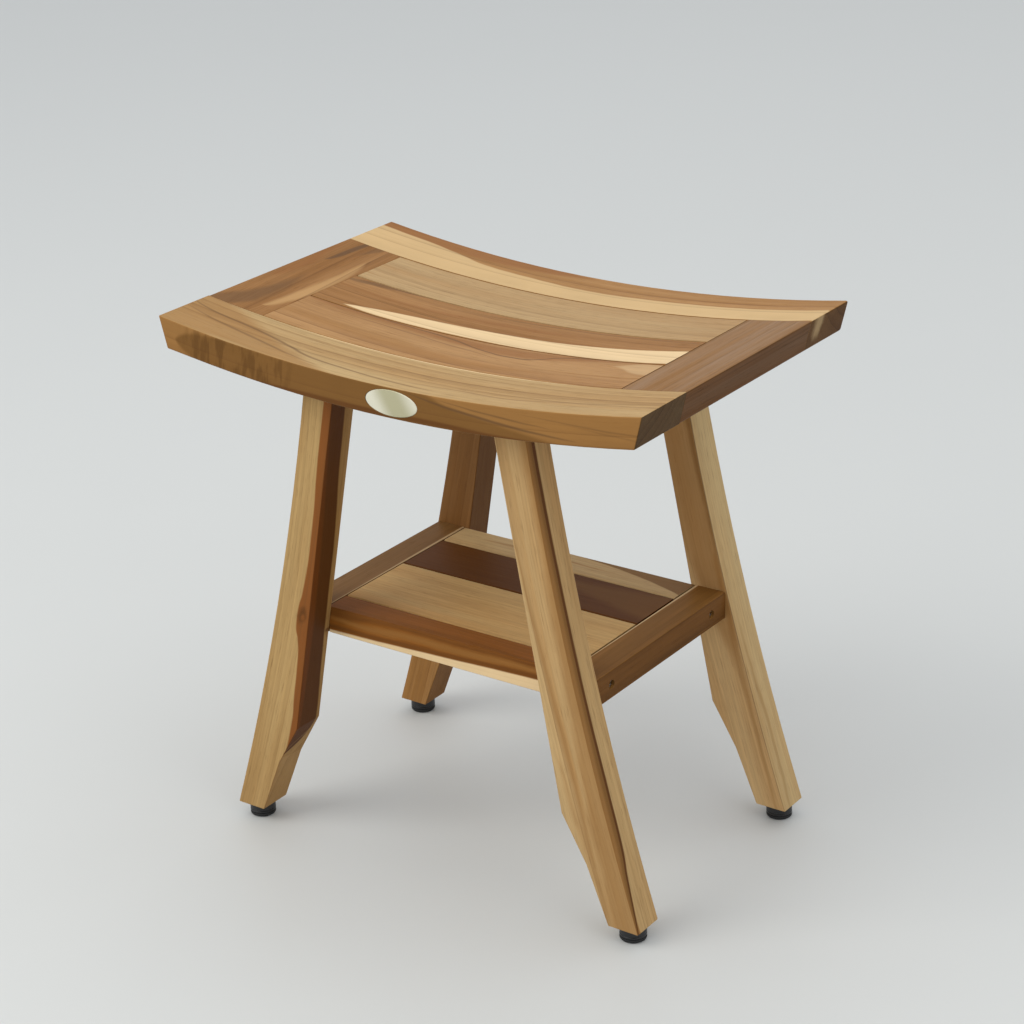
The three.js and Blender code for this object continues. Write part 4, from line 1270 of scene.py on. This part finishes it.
class SHOWER_STOOL_OT_shelf_boards(Operator):
    """Eases and finishes the shelf's rails and boards"""
    bl_idname = "shower_stool.shelf_boards"
    bl_label = "Shelf Boards"

    def execute(self, context):
        settings = context.scene.shower_stool
        looks = {
            "shelf_front_rail": (self.front_rail, "teak_brown"),
            "shelf_front_board": (self.front_board, "teak_tan"),
            "shelf_back_board": (self.back_board, "teak_dark"),
            "shelf_back_rail": (self.back_rail, "teak_pale"),
        }
        for node, (look, slot) in looks.items():
            low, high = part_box(node)
            piece = copy_of_node(node)
            ease(piece, settings.shape.shelf_edge, bar_edges(low, high, "x", "y"))
            smooth(piece)
            piece.data.materials.append(look(settings))
            hand_in(piece, "stool", slot, node)
        return {"FINISHED"}

    def front_rail(self, settings):
        wood = Timber("Shelf front rail teak", settings).on_shelf()
        wood.grow("russet", "russet", heart=(-96, -30), spacing=5, strength=0.5, seed=121.0,
                  line="chocolate",
                  tone=(1.05, 1.1, 0.75))
        front = (0, -1, 0)
        wood.band([(-126, 8, -1), (-90, 10, 2), (-20, 8, 3), (60, 7, 3), (126, 6, 2)], "brown", 0.6, 5,
                  front, "down",
                  waver=7)
        wood.band([(-126, 2, 6), (-100, 3, 5), (-60, 2, 2), (30, 2, 1.5), (126, 1, 1.5)], "chocolate", 0.6,
                  5, front,
                  "down", waver=5)
        wood.band([(-126, 18, 2), (0, 14.5, 2), (126, 10, 2.5)], "chocolate", 0.6, 3, front, "down",
                  waver=4)
        wood.band([(-126, 26, 4.6), (-60, 26, 6.6), (0, 26, 8.8), (60, 26, 11.2), (126, 26, 13)],
                  "sapwood", 1.0, 1.6, front, "down", waver=1.5, veined=0.15)
        return wood.finish()

    def front_board(self, settings):
        wood = Timber("Shelf front board teak", settings).on_shelf()
        wood.grow("straw", "honey", heart=(-30, -60), spacing=8, strength=0.35, seed=133.0,
                  tone=(0.96, 0.95, 0.84))
        wood.band([(-126, -88, 1), (0, -88, 2.5), (126, -88, 4)], "sapwood", 0.5, 3, (0, 0, 1), waver=3)
        return wood.finish()

    def back_board(self, settings):
        wood = Timber("Shelf back board teak", settings).on_shelf()
        wood.grow("chocolate", "chocolate", heart=(40, -60), spacing=7, strength=0.3, seed=145.0,
                  tone=(0.9, 0.85, 0.65), line="chocolate")
        wood.band([(-20, 50, -4), (60, 44, 12), (126, 40, 26)], "walnut", 0.5, 12, (0, 0, 1), waver=10)
        return wood.finish()

    def back_rail(self, settings):
        wood = Timber("Shelf back rail teak", settings).on_shelf()
        wood.grow("straw", "honey", heart=(90, -60), spacing=5, strength=0.4, seed=156.0,
                  tone=(0.86, 0.9, 0.92))
        wood.band([(-40, 99, -1), (10, 98, 2.5), (60, 98, 10), (100, 97, 19), (126, 96, 28)], "walnut",
                  0.85, 2.0,
                  (0, 0, 1), waver=3)
        wood.band([(-90, 84, -1), (-40, 84, 1.5), (20, 82, 1.0), (60, 80, -1)], "brown", 0.6, 2.5,
                  (0, 0, 1), waver=6)
        return wood.finish()


class SHOWER_STOOL_OT_shelf_fixings(Operator):
    """Models the bolts, barrel nuts and plugs that hold the shelf to the legs"""
    bl_idname = "shower_stool.shelf_fixings"
    bl_label = "Shelf Fixings"

    def execute(self, context):
        settings = context.scene.shower_stool
        fixings = settings.fixings
        steel = bpy.data.materials.get("Screw steel") or plain_material(
            "Screw steel", tint(186, 187, 188), 0.34, 1.0, 900.0, 0.08)
        bolt = self.bolt(fixings)
        bolt.data.materials.append(steel)
        for name_y, side_y in SIDES_Y:
            for name_x, side_x in SIDES_X:
                place = f"{name_y}_{name_x}"
                node = f"shelf_bolt_{place}"
                low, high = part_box(node)
                head_y = low.y if side_y < 0 else high.y
                turn = Matrix.Rotation(side_y * math.radians(90), 4, "X")
                at = Matrix.Translation(((low.x + high.x) / 2, head_y, (low.z + high.z) / 2))
                hand_in(copy_to(bolt, node + ".threaded", at @ turn), "stool", "stainless_steel", node)

                node = f"barrel_nut_{place}"
                low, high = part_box(node)
                nut = copy_of_node(node, node + ".slotted")
                self.slot_nut(nut, low, high, side_x, fixings)
                smooth(nut, 25)
                nut.data.materials.append(steel)
                hand_in(nut, "stool", "stainless_steel", node)

                node = f"bolt_plug_{place}"
                plug = copy_of_node(node, node + ".trimmed")
                low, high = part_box(node)
                width = high.x - low.x
                grown = (width + fixings.plug_fill) / width
                bpy.ops.transform.resize(value=(grown, 1.0, grown), center_override=(low + high) / 2)
                smooth(plug, 25)
                leg_wood = bpy.data.materials.get(f"Leg teak {name_y} {name_x}")
                if leg_wood is None:
                    raise RuntimeError("the legs are finished before the plugs that match them")
                plug.data.materials.append(leg_wood)
                hand_in(plug, "stool", "teak_brown" if place == "back_left" else "teak_tan", node)
        bpy.data.objects.remove(bolt)
        return {"FINISHED"}

    def bolt(self, fixings):
        """A socket-head bolt, head down, from z = 0 upward."""
        low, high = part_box("shelf_bolt_front_left")
        length, head = high.y - low.y, (high.x - low.x) / 2
        shank, neck = 2.0 * MM, 3.5 * MM
        pitch = 0.7 * MM
        rows = []
        z = length - 26 * MM
        while z < length - 1.2 * MM:
            rows.append((shank, z))
            z += pitch / 6
        profile = [(head - 0.4 * MM, 0.0), (head, 0.4 * MM), (head, neck - 0.2 * MM),
                   (head - 0.2 * MM, neck),
                   (shank + 0.2 * MM, neck), (shank, neck + 0.3 * MM), *rows, (shank - 0.5 * MM, length)]
        bolt = turned("shelf_bolt.pattern", profile, 24)
        cut_thread(bolt, shank, pitch, 0.38 * MM, length - 25 * MM, length - 1.3 * MM)
        recess(bolt, fixings.bolt_socket, 2.2 * MM, 6)
        smooth(bolt, 40)
        return bolt

    def slot_nut(self, nut, low, high, side_x, fixings):
        """Cuts the screwdriver slot across the nut's outer end."""
        face = high.x if side_x > 0 else low.x
        bpy.ops.object.select_all(action="DESELECT")
        bpy.ops.mesh.primitive_cube_add(size=1.0,
                                        location=(face, (low.y + high.y) / 2, (low.z + high.z) / 2))
        tool = bpy.context.object
        tool.scale = (2.4 * MM, 20 * MM, fixings.slot_width)
        take_up(nut)
        cut = nut.modifiers.new("Slot", "BOOLEAN")
        cut.object = tool
        cut.operation = "DIFFERENCE"
        cut.solver = "EXACT"
        bpy.ops.object.modifier_apply(modifier=cut.name)
        bpy.data.objects.remove(tool)


class SHOWER_STOOL_OT_feet(Operator):
    """Models the levelling feet: pads, bases, studs and the inserts in the legs"""
    bl_idname = "shower_stool.feet"
    bl_label = "Levelling Feet"

    def execute(self, context):
        settings = context.scene.shower_stool
        fixings = settings.fixings
        steps = fixings.round_steps
        patterns = {
            "foot_pad": (self.pad(steps), "foot_{}", "foot_rubber", ".moulded", plain_material(
                "Foot rubber", tint(20, 20, 20), 0.7, 0.0, 700.0, 0.2, 0.35)),
            "foot_base": (self.base(steps), "foot_{}", "foot_nylon", ".moulded", plain_material(
                "Foot nylon", tint(26, 26, 27), 0.42, 0.0, 1400.0, 0.15, 0.2)),
            "foot_stud": (self.stud(fixings), "stud_{}", "stainless_steel", ".threaded", plain_material(
                "Stud steel", tint(190, 191, 192), 0.3, 1.0, 800.0, 0.08)),
            "foot_insert": (self.insert(fixings), "stool", "insert_brass", ".threaded", plain_material(
                "Insert brass", tint(190, 158, 92), 0.38, 1.0, 800.0, 0.1)),
        }
        for kind, (pattern, body, slot, made, material) in patterns.items():
            pattern.data.materials.append(material)
            for name_y, _ in SIDES_Y:
                for name_x, _ in SIDES_X:
                    place = f"{name_y}_{name_x}"
                    node = f"{kind}_{place}"
                    low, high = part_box(node)
                    at = Vector(((low.x + high.x) / 2, (low.y + high.y) / 2, low.z))
                    copy = copy_to(pattern, node + made, Matrix.Translation(at))
                    hand_in(copy, body.format(place), slot, node)
            bpy.data.objects.remove(pattern)
        return {"FINISHED"}

    def pad(self, steps):
        """Rubber pad with a rounded lower edge and a shallow ring groove under it."""
        low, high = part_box("foot_pad_front_left")
        radius, height = (high.x - low.x) / 2, high.z - low.z
        edge = [(radius - 2.0 * MM * (1 - math.sin(a)), 2.0 * MM * (1 - math.cos(a)))
                for a in (math.radians(step) for step in (0, 15, 30, 45, 60, 75, 90))]
        profile = [(radius * 0.52, 0.0), (radius * 0.56, 0.5 * MM), (radius * 0.64, 0.5 * MM),
                   (radius * 0.68, 0.0), *edge, (radius, height - 0.3 * MM), (radius - 0.3 * MM, height)]
        pad = turned("foot_pad.pattern", profile, steps)
        smooth(pad, 50)
        return pad

    def base(self, steps):
        """Moulded base with a waist groove, open below and bored for the stud."""
        low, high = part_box("foot_base_front_left")
        radius, height = (high.x - low.x) / 2, high.z - low.z
        stud_low, stud_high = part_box("foot_stud_front_left")
        cup = (stud_high.x - stud_low.x) / 2 + 0.3 * MM
        bore, cup_top = 4.3 * MM, 4.5 * MM
        profile = [
            (cup, 0.0), (radius - 0.4 * MM, 0.0), (radius, 0.4 * MM), (radius, 1.6 * MM),
            (radius - 0.5 * MM, 2.0 * MM),
            (radius - 0.5 * MM, 2.5 * MM), (radius, 2.9 * MM), (radius, height - 1.2 * MM),
            (radius - 0.35 * MM, height - 0.35 * MM), (radius - 1.2 * MM, height),
            (bore + 0.4 * MM, height),
            (bore, height - 0.4 * MM), (bore, cup_top), (cup, cup_top), (cup, 0.0),
        ]
        base = turned("foot_base.pattern", profile, steps, ring=True)
        smooth(base, 50)
        return base

    def stud(self, fixings):
        low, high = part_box("foot_stud_front_left")
        length, head = high.z - low.z, (high.x - low.x) / 2
        shank, neck = 4.0 * MM, 4.2 * MM
        rows = []
        z = neck + 0.8 * MM
        while z < length - 1.0 * MM:
            rows.append((shank, z))
            z += fixings.thread_pitch / 6
        profile = [(head - 0.5 * MM, 0.0), (head, 0.5 * MM), (head, neck - 0.4 * MM),
                   (head - 0.4 * MM, neck),
                   (shank + 0.3 * MM, neck), (shank, neck + 0.3 * MM), *rows,
                   (shank - 0.9 * MM, length)]
        stud = turned("foot_stud.pattern", profile, 24)
        cut_thread(stud, shank, fixings.thread_pitch, fixings.thread_depth, neck + 0.8 * MM,
                   length - 1.1 * MM)
        recess(stud, fixings.socket_width, 2.4 * MM, 6)
        smooth(stud, 40)
        return stud

    def insert(self, fixings):
        low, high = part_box("foot_insert_front_left")
        radius, length = (high.x - low.x) / 2, high.z - low.z
        bore = 4.3 * MM
        profile = [(bore, 0.0), (radius - 0.3 * MM, 0.0), (radius, 0.3 * MM)]
        z = 1.2 * MM
        while z < length - 2.5 * MM:
            profile += [(radius, z), (radius - 0.9 * MM, z + 0.8 * MM), (radius - 0.9 * MM, z + 1.4 * MM),
                        (radius, z + 2.0 * MM)]
            z += 2.5 * MM
        profile += [(radius, length - 0.3 * MM), (radius - 0.3 * MM, length), (bore, length), (bore, 0.0)]
        insert = turned("foot_insert.pattern", profile, 32, ring=True)
        smooth(insert, 30)
        return insert


class SHOWER_STOOL_OT_stage(Operator):
    """Sets up the floor, the soft lamps and the camera"""
    bl_idname = "shower_stool.stage"
    bl_label = "Floor, Lamps and Camera"

    def execute(self, context):
        stage = context.scene.shower_stool.stage
        self.floor(stage)
        self.lamps(context, stage)
        self.camera(context, stage)
        return {"FINISHED"}

    def floor(self, stage):
        bpy.ops.object.select_all(action="DESELECT")
        bpy.ops.mesh.primitive_plane_add(size=24.0, location=(0.0, 0.0, -0.0002))
        floor = bpy.context.object
        floor.name = "floor"
        floor.data.materials.append(plain_material("Pale floor", tuple(stage.floor), 0.55, 0.0, 6.0, 0.02,
                                                   0.02))

    def lamps(self, context, stage):
        world = bpy.data.worlds.new("Room")
        world.use_nodes = True
        sky = world.node_tree.nodes["Background"]
        sky.inputs["Color"].default_value = (0.93, 0.96, 1.0, 1.0)
        sky.inputs["Strength"].default_value = stage.room_light
        context.scene.world = world
        for name, power, size, place, aim, colour in (
            ("Key lamp", stage.key_power, 1.8, (-1.3, -1.9, 2.3), (0.0, 0.0, 0.3), (1.0, 0.985, 0.95)),
            ("Side lamp", stage.side_power, 1.6, (2.4, -0.6, 1.5), (0.0, 0.0, 0.25), (1.0, 0.99, 0.97)),
            ("Top lamp", stage.top_power, 3.6, (0.6, 0.9, 3.4), (0.3, 0.5, 0.0), (1.0, 1.0, 1.0)),
        ):
            bpy.ops.object.select_all(action="DESELECT")
            bpy.ops.object.light_add(type="AREA", location=place)
            lamp = context.object
            lamp.name = name
            lamp.data.energy = power
            lamp.data.size = size
            lamp.data.color = colour
            lamp.rotation_euler = (Vector(aim) - Vector(place)).to_track_quat("-Z", "Y").to_euler()

    def camera(self, context, stage):
        a, e, r = stage.azimuth, stage.elevation, stage.roll
        back = Vector((math.sin(a) * math.cos(e), -math.cos(a) * math.cos(e), math.sin(e)))
        right = Vector((math.cos(a), math.sin(a), 0.0))
        up = back.cross(right)
        across = right * math.cos(r) + up * math.sin(r)
        over = up * math.cos(r) - right * math.sin(r)
        bpy.ops.object.select_all(action="DESELECT")
        bpy.ops.object.camera_add(location=stage.camera_place)
        camera = context.object
        camera.rotation_euler = Matrix((across, over, back)).transposed().to_euler()
        camera.data.lens = stage.lens
        camera.data.sensor_width = 36.0
        camera.data.dof.use_dof = False
        context.scene.camera = camera
        context.scene.view_settings.view_transform = "Standard"


STEPS = (
    SHOWER_STOOL_OT_stage,
    SHOWER_STOOL_OT_seat_rails,
    SHOWER_STOOL_OT_seat_end_rails,
    SHOWER_STOOL_OT_seat_slats,
    SHOWER_STOOL_OT_badge,
    SHOWER_STOOL_OT_bearers,
    SHOWER_STOOL_OT_slat_screws,
    SHOWER_STOOL_OT_legs,
    SHOWER_STOOL_OT_leg_dowels,
    SHOWER_STOOL_OT_shelf_end_rails,
    SHOWER_STOOL_OT_shelf_boards,
    SHOWER_STOOL_OT_shelf_fixings,
    SHOWER_STOOL_OT_feet,
)


class SHOWER_STOOL_PT_panel(Panel):
    """Sizes, colours and the steps that finish the stool"""
    bl_label = "Shower Stool"
    bl_idname = "SHOWER_STOOL_PT_panel"
    bl_space_type = "VIEW_3D"
    bl_region_type = "UI"
    bl_category = "Shower Stool"

    def draw(self, context):
        layout = self.layout
        layout.use_property_split = True
        settings = context.scene.shower_stool
        for label, group in (
            ("Shape", settings.shape), ("Timber", settings.timber),
            ("Fixings", settings.fixings), ("Stage", settings.stage),
        ):
            box = layout.box()
            box.label(text=label)
            for name in group.__annotations__:
                box.prop(group, name)
        for step in STEPS:
            layout.operator(step.bl_idname)


CLASSES = (
    StoolShape, StoolTimber, StoolFixings, StoolStage, StoolSettings, *STEPS, SHOWER_STOOL_PT_panel,
)


def register():
    for made in CLASSES:
        bpy.utils.register_class(made)
    bpy.types.Scene.shower_stool = PointerProperty(type=StoolSettings)


def unregister():
    del bpy.types.Scene.shower_stool
    for made in reversed(CLASSES):
        bpy.utils.unregister_class(made)


def main():
    register()
    for step in STEPS:
        family, name = step.bl_idname.split(".")
        getattr(getattr(bpy.ops, family), name)()
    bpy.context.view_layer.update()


if __name__ == "__main__":
    main()
